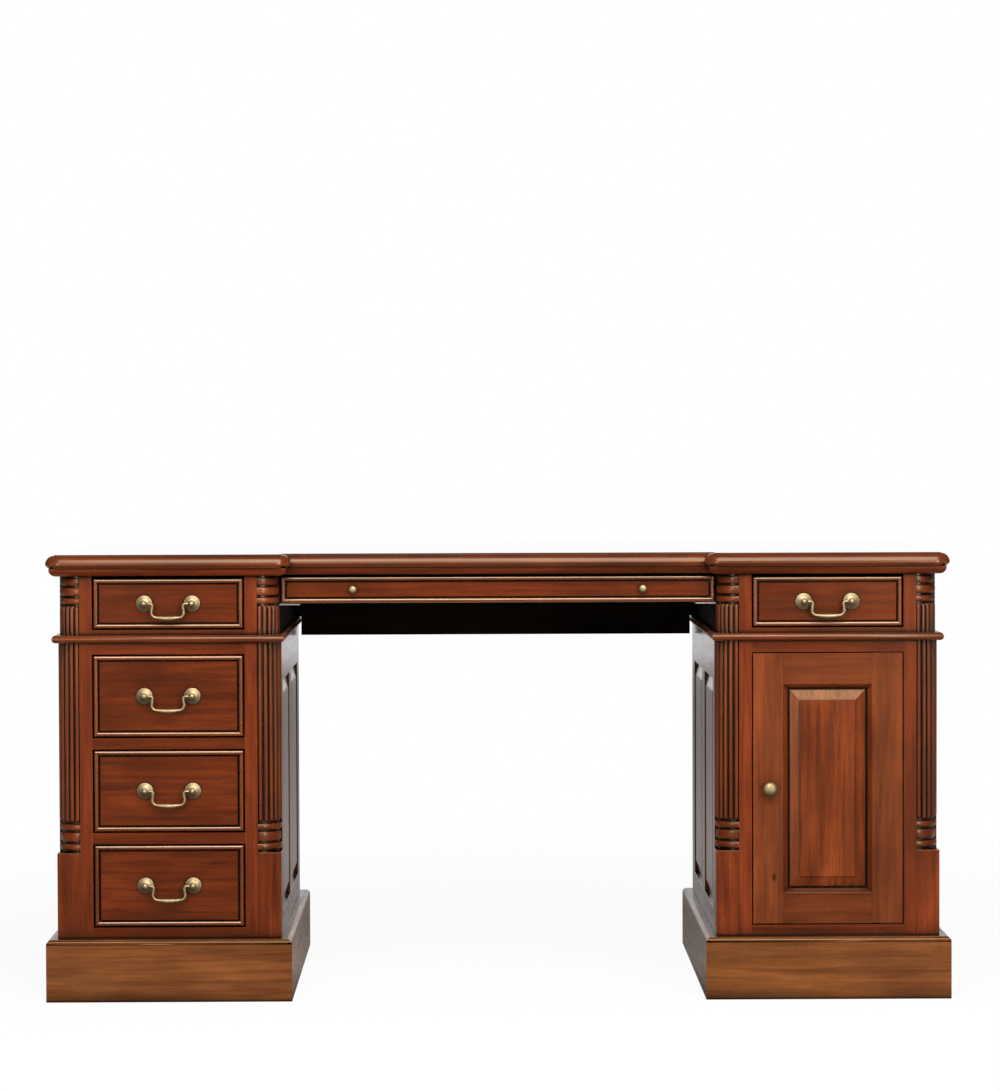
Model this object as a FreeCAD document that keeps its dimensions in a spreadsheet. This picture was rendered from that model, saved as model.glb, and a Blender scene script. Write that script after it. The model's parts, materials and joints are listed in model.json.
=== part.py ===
import FreeCAD, Part
import math
import os
from types import SimpleNamespace

import Sketcher

# Driving sizes in millimetres, and angles in degrees
DIMENSIONS = {
    "desk_width": 1600,
    "desk_depth": 700,
    "desk_height": 790,
    "board_thickness": 22,
    "plinth_height": 110,
    "plinth_board_thickness": 25,
    "plinth_overhang_width": 19,
    "plinth_nose_radius": 9,
    "pedestal_width": 396,
    "column_radius": 41,
    "stile_width": 22.5,
    "rail_height": 20,
    "top_rail_height": 20,
    "cap_thickness": 14,
    "cap_projection_width": 7,
    "frieze_height": 104,
    "frieze_inset_width": 3,
    "frieze_rail_height": 9,
    "frieze_top_gap": 3.5,
    "top_frame_thickness": 14,
    "top_frame_inset_width": 8,
    "top_frame_ovolo_radius": 12,
    "top_thickness": 24,
    "top_corner_radius": 28,
    "top_ovolo_radius": 16,
    "top_step_height": 1.2,
    "top_under_edge_width": 6,
    "centre_recess_depth": 36,
    "apron_drop_height": 21,
    "apron_thickness": 18,
    "side_front_stile_width": 42,
    "side_back_stile_width": 67,
    "side_muntin_width": 72,
    "side_bottom_rail_height": 41,
    "side_top_rail_height": 72,
    "back_member_width": 60,
    "panel_rim_thickness": 6,
    "panel_groove_depth": 8,
    "panel_bevel_width": 25,
    "panel_field_step_height": 1.5,
    "panel_field_recess_depth": 1,
    "fit_clearance": 0.5,
    "block_height": 152,
    "base_gap_height": 4,
    "base_lower_ring_height": 12,
    "base_drum_height": 16,
    "base_upper_ring_height": 11,
    "capital_gap_height": 3.5,
    "capital_lower_ring_height": 11,
    "capital_middle_ring_height": 15,
    "capital_upper_ring_height": 13,
    "ring_inset_width": 2,
    "ring_bevel_width": 3,
    "column_quirk_depth": 4,
    "drawer_gap": 1.5,
    "drawer_front_thickness": 20,
    "drawer_proud_depth": 1.5,
    "bead_width": 8,
    "bead_slope_width": 2.4,
    "bead_quirk_width": 2.5,
    "bead_quirk_depth": 1.5,
    "field_depth": 3.2,
    "drawer_side_thickness": 12,
    "drawer_bottom_thickness": 6,
    "drawer_bottom_lift_height": 8,
    "drawer_groove_depth": 5,
    "drawer_side_clearance": 1,
    "running_clearance": 0.3,
    "pedestal_rear_gap": 61.5,
    "pedestal_headroom_gap": 28.5,
    "frieze_rear_gap": 75.5,
    "frieze_headroom_gap": 24.5,
    "runner_lip_width": 15,
    "guide_height": 20,
    "centre_front_height": 49,
    "centre_front_gap": 1.5,
    "centre_rear_gap": 117.5,
    "centre_headroom_gap": 9,
    "centre_top_gap": 2,
    "bearer_thickness": 2.5,
    "bearer_width": 36,
    "bearer_height": 24,
    "pull_spacing_width": 84.5,
    "rosette_radius": 14.5,
    "rosette_edge_thickness": 1.2,
    "rosette_rise_height": 2.6,
    "rosette_boss_radius": 9,
    "boss_rise_height": 2.4,
    "post_neck_radius": 3.6,
    "post_head_radius": 5.5,
    "post_pivot_length": 12.5,
    "stem_radius": 2.4,
    "nut_radius": 5.2,
    "nut_thickness": 4,
    "bore_clearance": 0.1,
    "bail_pin_radius": 1.7,
    "pin_clearance": 0.06,
    "bail_rod_radius": 2,
    "bail_grip_radius": 3,
    "bail_shoulder_width": 28,
    "bail_shoulder_bend_radius": 4,
    "bail_corner_bend_radius": 7.5,
    "bail_drop_height": 24.5,
    "bail_lean_angle": 20,
    "small_knob_radius": 6,
    "small_knob_length": 12,
    "door_gap": 2,
    "door_member_width": 54,
    "door_panel_inset_width": 29,
    "door_moulding_width": 8,
    "door_moulding_lip_width": 1,
    "door_knob_radius": 13,
    "door_knob_length": 24,
    "door_knob_inset_width": 29,
    "hinge_leaf_thickness": 1.4,
    "hinge_plate_thickness": 4,
    "hinge_length": 40,
    "hinge_width": 7.5,
    "hinge_setback_depth": 4,
    "hinge_edge_width": 5,
    "hinge_pin_radius": 1.8,
    "door_stop_overlap_width": 10,
    "door_stop_thickness": 12,
    "catch_length": 40,
    "catch_height": 15,
    "shelf_thickness": 18,
    "shelf_setback_depth": 25,
    "shelf_bearer_width": 15,
    "shelf_bearer_height": 25,
    "overrun_length": 2,
}

REEDS = 7
PEDESTAL_DRAWERS = 3
QUARTER_TURN = 90
FULL_TURN = 360
NOSE_SHARE = 0.49
SHELF_HEIGHT_SHARE = 0.5
REED_SIDES = 8
COLUMN_FACETS = 4
REED_WIDTH_SHARE = 1.1
BOSS_SLOPE_SHARE = 0.9
HEAD_ROUND_SHARE = 0.4
GRIP_SHARE = 0.9
GRIP_ROUND_SHARE = 0.7
KNOB_CROWN_SHARE = 0.6
KNOB_NECK_SHARE = 0.5
KNOB_FOOT_SHARE = 0.72
KNOB_STALK_SHARE = 0.42
SMALL_KNOB_PLACE_SHARE = 0.666
HINGE_FRONT_SHARE = 0.4
POST_SIDES = 9
HEAD_SIDES = 8
KNOB_SIDES = 10
STEM_SIDES = 6
ROD_SIDES = 6
BORE_SIDES = 6
BORE_CORNER_SHARE = 1.16
BEND_STEPS = 2
PIN_FLAT_SHARE = 0.6
SAME_PLACE = 1e-4

SIDES = (("left", -1), ("right", 1))


class Size:
    """A size that carries its expression over the sheet together with its present value."""

    def __init__(self, text, value):
        self.text = text
        self.value = value

    def __add__(self, other):
        other = as_size(other)
        return Size(f"({self.text} + {other.text})", self.value + other.value)

    def __radd__(self, other):
        return as_size(other) + self

    def __sub__(self, other):
        other = as_size(other)
        return Size(f"({self.text} - {other.text})", self.value - other.value)

    def __rsub__(self, other):
        return as_size(other) - self

    def __mul__(self, other):
        other = as_size(other)
        return Size(f"({self.text} * {other.text})", self.value * other.value)

    def __rmul__(self, other):
        return as_size(other) * self

    def __truediv__(self, other):
        other = as_size(other)
        return Size(f"({self.text} / {other.text})", self.value / other.value)

    def __neg__(self):
        return Size(f"(0 - {self.text})", -self.value)


def as_size(number):
    return number if isinstance(number, Size) else Size(repr(number), number)


def sine(angle):
    angle = as_size(angle)
    return Size(f"sin({angle.text})", math.sin(math.radians(angle.value)))


def cosine(angle):
    angle = as_size(angle)
    return Size(f"cos({angle.text})", math.cos(math.radians(angle.value)))


# The document and its sheet of driving sizes
doc = FreeCAD.newDocument("pedestal_desk")
sheet = doc.addObject("Spreadsheet::Sheet", "dims")
for row, (alias, number) in enumerate(DIMENSIONS.items(), start=1):
    sheet.set(f"A{row}", str(number))
    sheet.setAlias(f"A{row}", alias)
doc.recompute()
d = SimpleNamespace(**{alias: Size(f"dims.{alias}", number) for alias, number in DIMENSIONS.items()})

subparts = []


# Small modelling vocabulary shared by every piece
def bind(item, prop, size):
    item.setExpression(prop, as_size(size).text)


def move_to(item, x, y, z, turn=0, axis=(0, 0, 1)):
    """Places an item by sheet expressions, turned about an axis by a fixed angle."""
    item.Placement = FreeCAD.Placement(
        FreeCAD.Vector(), FreeCAD.Rotation(FreeCAD.Vector(*axis), turn)
    )
    for letter, size in zip("xyz", (x, y, z)):
        bind(item, f"Placement.Base.{letter}", size)


def publish(item, label):
    item.Label = label
    subparts.append(item)
    return item


def group(label, pieces):
    """Several pieces kept as separate solids of one sub-part."""
    gathered = doc.addObject("Part::Compound", f"{label}_group")
    gathered.Links = pieces
    return publish(gathered, label)


def board(name, x, y, z):
    """A squared board given by its low and high bounds along each axis."""
    plank = doc.addObject("Part::Box", name)
    for prop, letter, (low, high) in zip(("Length", "Width", "Height"), "xyz", (x, y, z)):
        bind(plank, prop, as_size(high) - low)
        bind(plank, f"Placement.Base.{letter}", low)
    return plank


def without(name, base, tools):
    """The base piece with each tool's space taken out of it."""
    removed = doc.addObject("Part::Compound", f"{name}_cuts")
    removed.Links = tools
    rest = doc.addObject("Part::Cut", name)
    rest.Base = base
    rest.Tool = removed
    return rest


def together(name, pieces):
    joined = doc.addObject("Part::MultiFuse", name)
    joined.Shapes = pieces
    joined.Refine = True
    return joined


def prism(name, sides, radius, length, place, turn=0, axis=(0, 0, 1)):
    """A faceted bore or nut."""
    shaft = doc.addObject("Part::Prism", name)
    shaft.Polygon = sides
    bind(shaft, "Circumradius", radius)
    bind(shaft, "Height", length)
    move_to(shaft, *place, turn, axis)
    return shaft


def round_pin(name, radius, length, place):
    shaft = doc.addObject("Part::Cylinder", name)
    bind(shaft, "Radius", radius)
    bind(shaft, "Height", length)
    move_to(shaft, *place)
    return shaft


def copy_of(name, pattern):
    """Another one of a piece that repeats, with a place of its own."""
    link = doc.addObject("App::Link", name)
    link.LinkedObject = pattern
    return link


def across(side, low, high):
    """Bounds on one side of the desk, mirrored for the other side."""
    return (low, high) if side > 0 else (-high, -low)


def new_body(name):
    return doc.addObject("PartDesign::Body", name)


def origin_feature(body, role):
    for feature in body.Origin.OriginFeatures:
        if feature.Role == role:
            return feature
    raise ValueError(role)


def sketch(body, name, role, lift=0):
    """A sketch on one of the body's own planes, lifted along the plane's normal."""
    drawing = body.newObject("Sketcher::SketchObject", name)
    drawing.AttachmentSupport = [(origin_feature(body, role), "")]
    drawing.MapMode = "FlatFace"
    bind(drawing, "AttachmentOffset.Base.z", lift)
    return drawing


def hold(drawing, kind, references, size):
    """A dimension of a sketch, bound to the sheet."""
    index = drawing.addConstraint(Sketcher.Constraint(kind, *references, size.value))
    bind(drawing, f"Constraints[{index}]", size)


def pin_point(drawing, edge, end, x, y):
    hold(drawing, "DistanceX", (-1, 1, edge, end), as_size(x))
    hold(drawing, "DistanceY", (-1, 1, edge, end), as_size(y))


def arc_edge(start, end, radius, turn):
    """An arc from start to end that turns left (1) or right (-1), always stored anticlockwise."""
    chord = end - start
    middle = (start + end) * 0.5
    left = FreeCAD.Vector(-chord.y, chord.x, 0).normalize()
    rise = radius - math.sqrt(max(radius**2 - (chord.Length / 2) ** 2, 0))
    crown = middle - left * rise * turn
    return Part.Arc(start, crown, end) if turn > 0 else Part.Arc(end, crown, start)


def draw(drawing, points, closed=True):
    """Lines and arcs through points; a point may add the radius and turn of the arc that leaves it."""
    first = drawing.GeometryCount
    corners = [(as_size(point[0]), as_size(point[1]), *point[2:]) for point in points]
    places = [FreeCAD.Vector(corner[0].value, corner[1].value, 0) for corner in corners]
    count = len(corners) if closed else len(corners) - 1
    ends = []
    for index in range(count):
        start = places[index]
        end = places[(index + 1) % len(places)]
        if len(corners[index]) > 2:
            radius, turn = as_size(corners[index][2]), corners[index][3]
            drawing.addGeometry(arc_edge(start, end, radius.value, turn))
            ends.append((1, 2) if turn > 0 else (2, 1))
        else:
            drawing.addGeometry(Part.LineSegment(start, end))
            ends.append((1, 2))
    for index in range(count if closed else count - 1):
        following = (index + 1) % count
        references = (first + index, ends[index][1], first + following, ends[following][0])
        drawing.addConstraint(Sketcher.Constraint("Coincident", *references))
    for index in range(count):
        pin_point(drawing, first + index, ends[index][0], *corners[index][:2])
        if len(corners[index]) > 2:
            hold(drawing, "Radius", (first + index,), as_size(corners[index][2]))
    if not closed:
        pin_point(drawing, first + count - 1, ends[count - 1][1], *corners[count][:2])


def rectangle(x, y):
    return [(x[0], y[0]), (x[1], y[0]), (x[1], y[1]), (x[0], y[1])]


def facet_ring(radius, sides, turn=0):
    """The corners of a regular polygon, the first one at the given angle."""
    angles = [math.radians(turn + FULL_TURN / sides * corner) for corner in range(sides)]
    return [(radius * math.cos(angle), radius * math.sin(angle)) for angle in angles]


def flat_sided(radius):
    """A pin's section, round above and below and flat on both sides."""
    flat = radius * PIN_FLAT_SHARE
    rise = radius * math.sqrt(1 - PIN_FLAT_SHARE**2)
    return [(flat, rise, radius, 1), (-flat, rise), (-flat, -rise, radius, 1), (flat, -rise)]


def pad(body, name, drawing, length, backwards=False):
    feature = body.newObject("PartDesign::Pad", name)
    feature.Profile = drawing
    bind(feature, "Length", length)
    feature.Reversed = backwards
    return feature


def pocket(body, name, drawing, depth, backwards=False):
    feature = body.newObject("PartDesign::Pocket", name)
    feature.Profile = drawing
    bind(feature, "Length", depth)
    feature.Reversed = backwards
    return feature


def at(**places):
    """A test for edges whose ends all lie at the given coordinates."""

    def test(ends):
        return all(
            abs(getattr(end, letter) - as_size(size).value) < SAME_PLACE
            for end in ends
            for letter, size in places.items()
        )

    return test


def upright(ends):
    return len(ends) == 2 and math.hypot(ends[0].x - ends[1].x, ends[0].y - ends[1].y) < SAME_PLACE


def dress(body, kind, name, test):
    """A fillet or chamfer on every edge of the body so far that passes the test."""
    doc.recompute()
    base = body.Tip
    names = [
        f"Edge{number}"
        for number, edge in enumerate(base.Shape.Edges, start=1)
        if test([vertex.Point for vertex in edge.Vertexes])
    ]
    feature = body.newObject(f"PartDesign::{kind}", name)
    feature.Base = (base, names)
    return feature


def ease(body, name, radius, test):
    bind(dress(body, "Fillet", name, test), "Radius", radius)


def bevel(body, name, size, test):
    bind(dress(body, "Chamfer", name, test), "Size", size)


# Places worked out from the driving sizes, on the right-hand half of the desk
front = -d.desk_depth / 2
back = d.desk_depth / 2
plinth_outer = d.desk_width / 2
pedestal_outer = plinth_outer - d.plinth_overhang_width
pedestal_inner = pedestal_outer - d.pedestal_width
plinth_inner = pedestal_inner - d.plinth_overhang_width
pedestal_middle = (pedestal_inner + pedestal_outer) / 2
pedestal_face = front + d.plinth_overhang_width
pedestal_back = back - d.plinth_overhang_width
pedestal_bottom = d.plinth_height
top_bottom = d.desk_height - d.top_thickness
frieze_top = top_bottom - d.top_frame_thickness
frieze_bottom = frieze_top - d.frieze_height
cap_bottom = frieze_bottom - d.cap_thickness

column_inner = pedestal_inner + d.column_radius
column_outer = pedestal_outer - d.column_radius
column_back = pedestal_face + d.column_radius
opening_inner = column_inner + d.stile_width
opening_outer = column_outer - d.stile_width
opening_bottom = pedestal_bottom + d.rail_height
opening_top = cap_bottom - d.top_rail_height
drawer_opening = (opening_top - opening_bottom + d.rail_height) / PEDESTAL_DRAWERS - d.rail_height
drawer_pitch = drawer_opening + d.rail_height
inside_inner = pedestal_inner + d.board_thickness
inside_outer = pedestal_outer - d.board_thickness
inside_back = pedestal_back - d.board_thickness

frieze_outer = pedestal_outer - d.frieze_inset_width
frieze_inner = pedestal_inner + d.frieze_inset_width
frieze_face = pedestal_face + d.frieze_inset_width
frieze_back = pedestal_back - d.frieze_inset_width
frieze_inside_back = frieze_back - d.board_thickness
frieze_column_radius = d.column_radius - d.frieze_inset_width
frieze_opening_bottom = frieze_bottom + d.frieze_rail_height
centre_face = frieze_face + d.centre_recess_depth


# Plinths: four mitred boards with a rounded top edge under each pedestal
def plinth_board(name, plan, **outer_edge):
    body = new_body(name)
    drawing = sketch(body, f"{name}_plan", "XY_Plane")
    draw(drawing, plan)
    pad(body, f"{name}_board", drawing, d.plinth_height)
    ease(body, f"{name}_nose", d.plinth_nose_radius, at(z=d.plinth_height, **outer_edge))
    return body


def plinth(label, side):
    low, high = across(side, plinth_inner, plinth_outer)
    inset_low = low + d.plinth_board_thickness
    inset_high = high - d.plinth_board_thickness
    inset_front = front + d.plinth_board_thickness
    inset_back = back - d.plinth_board_thickness
    front_plan = [(low, front), (high, front), (inset_high, inset_front), (inset_low, inset_front)]
    back_plan = [(low, back), (inset_low, inset_back), (inset_high, inset_back), (high, back)]
    low_plan = [(low, front), (inset_low, inset_front), (inset_low, inset_back), (low, back)]
    high_plan = [(high, front), (high, back), (inset_high, inset_back), (inset_high, inset_front)]
    boards = [
        plinth_board(f"{label}_front", front_plan, y=front),
        plinth_board(f"{label}_back", back_plan, y=back),
        plinth_board(f"{label}_low", low_plan, x=low),
        plinth_board(f"{label}_high", high_plan, x=high),
    ]
    group(label, boards)


# Raised and fielded panels, drawn with the outward face along +Y
def raised_panel(name, width, height, thickness, base_inset, field_inset):
    body = new_body(name)
    reach = d.panel_groove_depth - d.fit_clearance
    half = width / 2
    rim_face = d.panel_rim_thickness / 2
    field_face = thickness / 2 - d.panel_field_recess_depth
    bevel_top = field_face - d.panel_field_step_height
    rim = sketch(body, f"{name}_rim_outline", "XZ_Plane", rim_face)
    draw(rim, rectangle((-half - reach, half + reach), (-reach, height + reach)))
    pad(body, f"{name}_rim", rim, d.panel_rim_thickness, backwards=True)
    slope = body.newObject("PartDesign::AdditiveWedge", f"{name}_slope")
    bounds = {
        "Xmin": base_inset - half,
        "Xmax": half - base_inset,
        "Ymin": rim_face,
        "Ymax": bevel_top,
        "Zmin": base_inset,
        "Zmax": height - base_inset,
        "X2min": field_inset - half,
        "X2max": half - field_inset,
        "Z2min": field_inset,
        "Z2max": height - field_inset,
    }
    for prop, size in bounds.items():
        bind(slope, prop, size)
    field = sketch(body, f"{name}_field_outline", "XZ_Plane", -bevel_top)
    draw(field, rectangle((-half + field_inset, half - field_inset), (field_inset, height - field_inset)))
    pad(body, f"{name}_field", field, d.panel_field_step_height, backwards=True)
    return body


# Pedestal sides: stiles, rails and a muntin holding two raised panels
side_bottom = pedestal_bottom + d.side_bottom_rail_height
side_top = cap_bottom - d.side_top_rail_height
side_first = column_back + d.side_front_stile_width
side_last = pedestal_back - d.side_back_stile_width
side_panel_width = (side_last - side_first - d.side_muntin_width) / 2


def pedestal_side(label, side, low, high, outward):
    x = across(side, low, high)
    middle = (x[0] + x[1]) / 2
    rim = (middle - d.panel_rim_thickness / 2, middle + d.panel_rim_thickness / 2)
    muntin = (side_first + side_panel_width, side_last - side_panel_width)
    whole = (pedestal_bottom, cap_bottom)
    members = {
        "front_stile": ((column_back, side_first), whole),
        "back_stile": ((side_last, pedestal_back), whole),
        "bottom_rail": ((side_first, side_last), (pedestal_bottom, side_bottom)),
        "top_rail": ((side_first, side_last), (side_top, cap_bottom)),
        "muntin": (muntin, (side_bottom, side_top)),
    }
    bays = {"front": (side_first, muntin[0]), "back": (muntin[1], side_last)}
    frame = []
    for member, (y, z) in members.items():
        slots = [
            board(
                f"{label}_{member}_{bay}_slot",
                rim,
                (bay_y[0] - d.panel_groove_depth, bay_y[1] + d.panel_groove_depth),
                (side_bottom - d.panel_groove_depth, side_top + d.panel_groove_depth),
            )
            for bay, bay_y in bays.items()
        ]
        plank = board(f"{label}_{member}_blank", x, y, z)
        frame.append(without(f"{label}_{member}", plank, slots))
    group(f"{label}_frame", frame)
    panels = []
    for bay, (bay_low, bay_high) in bays.items():
        panel = raised_panel(
            f"{label}_{bay}_panel",
            side_panel_width,
            side_top - side_bottom,
            d.board_thickness,
            d.fit_clearance,
            d.panel_bevel_width,
        )
        move_to(panel, middle, (bay_low + bay_high) / 2, side_bottom, -QUARTER_TURN * outward)
        panels.append(panel)
    return panels


# Pedestal back: a frame with one raised panel
def pedestal_rear(label, side):
    low, high = across(side, inside_inner, inside_outer)
    y = (inside_back, pedestal_back)
    middle = (y[0] + y[1]) / 2
    whole = (pedestal_bottom, cap_bottom)
    bottom = pedestal_bottom + d.back_member_width
    top = cap_bottom - d.back_member_width
    left = low + d.back_member_width
    right = high - d.back_member_width
    slot_bounds = (
        (left - d.panel_groove_depth, right + d.panel_groove_depth),
        (middle - d.panel_rim_thickness / 2, middle + d.panel_rim_thickness / 2),
        (bottom - d.panel_groove_depth, top + d.panel_groove_depth),
    )
    members = {
        "left_stile": ((low, left), whole),
        "right_stile": ((right, high), whole),
        "bottom_rail": ((left, right), (pedestal_bottom, bottom)),
        "top_rail": ((left, right), (top, cap_bottom)),
    }
    frame = []
    for member, (x, z) in members.items():
        plank = board(f"{label}_{member}_blank", x, y, z)
        slot = board(f"{label}_{member}_slot", *slot_bounds)
        frame.append(without(f"{label}_{member}", plank, [slot]))
    panel = raised_panel(
        f"{label}_panel",
        right - left,
        top - bottom,
        d.board_thickness,
        d.fit_clearance,
        d.panel_bevel_width,
    )
    move_to(panel, (left + right) / 2, middle, bottom)
    group(label, frame + [panel])


# Face frames: stiles beside the columns and rails between the drawers
def face_frame(label, side, face, stile_z, rails, rail_depth):
    y = (face, face + d.board_thickness)
    pieces = [
        board(f"{label}_inner_stile", across(side, column_inner, opening_inner), y, stile_z),
        board(f"{label}_outer_stile", across(side, opening_outer, column_outer), y, stile_z),
    ]
    for number, rail in enumerate(rails):
        span = across(side, opening_inner, opening_outer)
        pieces.append(board(f"{label}_rail_{number}", span, (face, face + rail_depth), rail))
    return pieces


# Reeded quarter columns, drawn in the first quadrant about the Z axis
def round_edges(radius, levels):
    """A test for the round edges of a quarter ring at the given levels."""

    def test(ends):
        outside = all(math.hypot(end.x, end.y) > radius.value - SAME_PLACE for end in ends)
        return outside and any(at(z=level)(ends) for level in levels)

    return test


def quarter_stage(body, name, radius, bottom, top):
    """One stage of a quarter turning between two levels."""
    plan = sketch(body, f"{name}_plan", "XY_Plane", bottom)
    quarter = facet_ring(radius, 4 * COLUMN_FACETS)[: COLUMN_FACETS + 1]
    draw(plan, [(0, 0), *quarter])
    pad(body, f"{name}_stage", plan, as_size(top) - bottom)


def quarter_column(name, radius, stages, rings, reed_span):
    """A quarter turning of plain stages and rings, with a row of reeds round its shaft."""
    body = new_body(name)
    for number, (reach, bottom, top) in enumerate(stages):
        quarter_stage(body, f"{name}_shaft_{number}", reach, bottom, top)
    for number, (reach, bottom, top) in enumerate(rings):
        label = f"{name}_ring_{number}"
        quarter_stage(body, label, reach, bottom, top)
        bevel(body, f"{label}_edges", d.ring_bevel_width, round_edges(reach, (bottom, top)))
    pitch = QUARTER_TURN / (REEDS - 1 + REED_WIDTH_SHARE)
    first = pitch * REED_WIDTH_SHARE / 2
    ring = radius / (1 + sine(first))
    reed_bottom, reed_top = reed_span
    section = sketch(body, f"{name}_reed_section", "XY_Plane", reed_bottom)
    x, y = ring * cosine(first), ring * sine(first)
    corners = facet_ring(ring * sine(first), REED_SIDES, first)
    draw(section, [(x + corner_x, y + corner_y) for corner_x, corner_y in corners])
    reed = pad(body, f"{name}_reed", section, as_size(reed_top) - reed_bottom)
    doc.recompute()
    reeds = body.newObject("PartDesign::PolarPattern", f"{name}_reeds")
    reeds.Originals = [reed]
    reeds.Axis = (origin_feature(body, "Z_Axis"), [""])
    reeds.Angle = pitch * (REEDS - 1)
    reeds.Occurrences = REEDS
    body.Tip = reeds
    return body


def stacked(level, gap, rings):
    """Rings with a gap under each of them, and the level of the last one's top."""
    spans = []
    for reach, height in rings:
        spans.append((reach, level + gap, level + gap + height))
        level = level + gap + height
    return spans, level


def pedestal_column(name):
    radius = d.column_radius
    core = radius - d.column_quirk_depth
    neck = core - d.column_quirk_depth / 2
    top = cap_bottom - pedestal_bottom
    heights = (
        (radius, d.base_lower_ring_height),
        (radius - d.ring_inset_width, d.base_drum_height),
        (radius, d.base_upper_ring_height),
    )
    rings, shaft = stacked(d.block_height, d.base_gap_height, heights)
    stages = [(neck, d.block_height, shaft), (core, shaft, top)]
    return quarter_column(name, radius, stages, rings, (shaft + d.base_gap_height, top))


def frieze_column(name):
    radius = frieze_column_radius
    core = radius - d.column_quirk_depth
    neck = core - d.column_quirk_depth / 2
    heights = (
        (radius, d.capital_lower_ring_height),
        (radius, d.capital_middle_ring_height),
        (radius - d.ring_inset_width, d.capital_upper_ring_height),
    )
    gap = d.capital_gap_height
    taken = d.capital_lower_ring_height + d.capital_middle_ring_height + d.capital_upper_ring_height
    reed_top = d.frieze_height - taken - gap * (len(heights) + 1)
    rings, _ = stacked(reed_top, gap, heights)
    stages = [(core, as_size(0), reed_top), (neck, reed_top, d.frieze_height)]
    return quarter_column(name, radius, stages, rings, (as_size(0), reed_top))


def columns():
    """Columns on the front corners of both pedestals and of the frieze above them."""
    pedestal_pieces = []
    frieze_pieces = []
    shaft_pattern = pedestal_column("column_pattern")
    capital_pattern = frieze_column("capital_pattern")
    for hand, side in SIDES:
        for place, x, toward in (("outer", column_outer, side), ("inner", column_inner, -side)):
            turn = -QUARTER_TURN if toward > 0 else 2 * QUARTER_TURN
            shaft = copy_of(f"{hand}_{place}_column", shaft_pattern)
            move_to(shaft, x * side, column_back, pedestal_bottom, turn)
            capital = copy_of(f"{hand}_{place}_capital", capital_pattern)
            move_to(capital, x * side, column_back, frieze_bottom, turn)
            edge = pedestal_outer if place == "outer" else pedestal_inner
            low, high = (x, edge) if place == "outer" else (edge, x)
            block = board(
                f"{hand}_{place}_block",
                across(side, low, high),
                (pedestal_face, column_back),
                (pedestal_bottom, pedestal_bottom + d.block_height),
            )
            pedestal_pieces += [shaft, block]
            frieze_pieces.append(capital)
    group("pedestal_columns", pedestal_pieces)
    group("frieze_columns", frieze_pieces)


# Caps: round-nosed boards that close the pedestals and carry the frieze
def pedestal_cap(label, side):
    body = new_body(label)
    reach = d.cap_projection_width
    x = across(side, pedestal_inner - reach, pedestal_outer + reach)
    plan = sketch(body, f"{label}_plan", "XY_Plane")
    draw(plan, rectangle(x, (pedestal_face - reach, pedestal_back + reach)))
    pad(body, f"{label}_board", plan, d.cap_thickness)
    ease(body, f"{label}_lower_nose", d.cap_thickness * NOSE_SHARE, at(z=0))
    ease(body, f"{label}_upper_nose", d.cap_thickness * NOSE_SHARE, at(z=d.cap_thickness))
    move_to(body, 0, 0, cap_bottom)
    publish(body, label)


# Drawer runners and guides
def runners(label, side, inner, outer, y, z):
    """Two ledges from the carcass sides to just inside the drawer opening."""
    return [
        board(f"{label}_inner_runner", across(side, inner, opening_inner + d.runner_lip_width), y, z),
        board(f"{label}_outer_runner", across(side, opening_outer - d.runner_lip_width, outer), y, z),
    ]


def guides(label, side, inner, outer, y, bottom):
    """Two strips that keep a drawer in line with its opening."""
    z = (bottom, bottom + d.guide_height)
    return [
        board(f"{label}_inner_guide", across(side, inner, opening_inner), y, z),
        board(f"{label}_outer_guide", across(side, opening_outer, outer), y, z),
    ]


def pedestal(hand, side):
    plinth(f"{hand}_plinth", side)
    inside = across(side, inside_inner, inside_outer)
    base = board(f"{hand}_base", inside, (column_back, inside_back), (pedestal_bottom, opening_bottom))
    publish(base, f"{hand}_base_board")
    outer = (pedestal_outer - d.board_thickness, pedestal_outer)
    inner = (pedestal_inner, pedestal_inner + d.board_thickness)
    panels = pedestal_side(f"{hand}_outer_side", side, *outer, side)
    panels += pedestal_side(f"{hand}_inner_side", side, *inner, -side)
    group(f"{hand}_side_panels", panels)
    pedestal_rear(f"{hand}_back", side)
    rails = [(pedestal_bottom, opening_bottom), (opening_top, cap_bottom)]
    if side < 0:
        for level in range(1, PEDESTAL_DRAWERS):
            top = opening_bottom + drawer_pitch * level
            rails.append((top - d.rail_height, top))
    stile_z = (pedestal_bottom, cap_bottom)
    frame = face_frame(f"{hand}_face", side, pedestal_face, stile_z, rails, d.column_radius)
    group(f"{hand}_face_frame", frame)
    pedestal_cap(f"{hand}_cap", side)


def left_runners():
    """The base board carries the lowest drawer, so it needs guides alone."""
    y = (column_back, inside_back)
    pieces = []
    for level in range(PEDESTAL_DRAWERS):
        bottom = opening_bottom + drawer_pitch * level
        pieces += guides(f"level_{level}", -1, inside_inner, inside_outer, y, bottom)
        if level > 0:
            ledge = (bottom - d.rail_height, bottom)
            pieces += runners(f"level_{level}", -1, inside_inner, inside_outer, y, ledge)
    group("left_drawer_runners", pieces)


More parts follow.
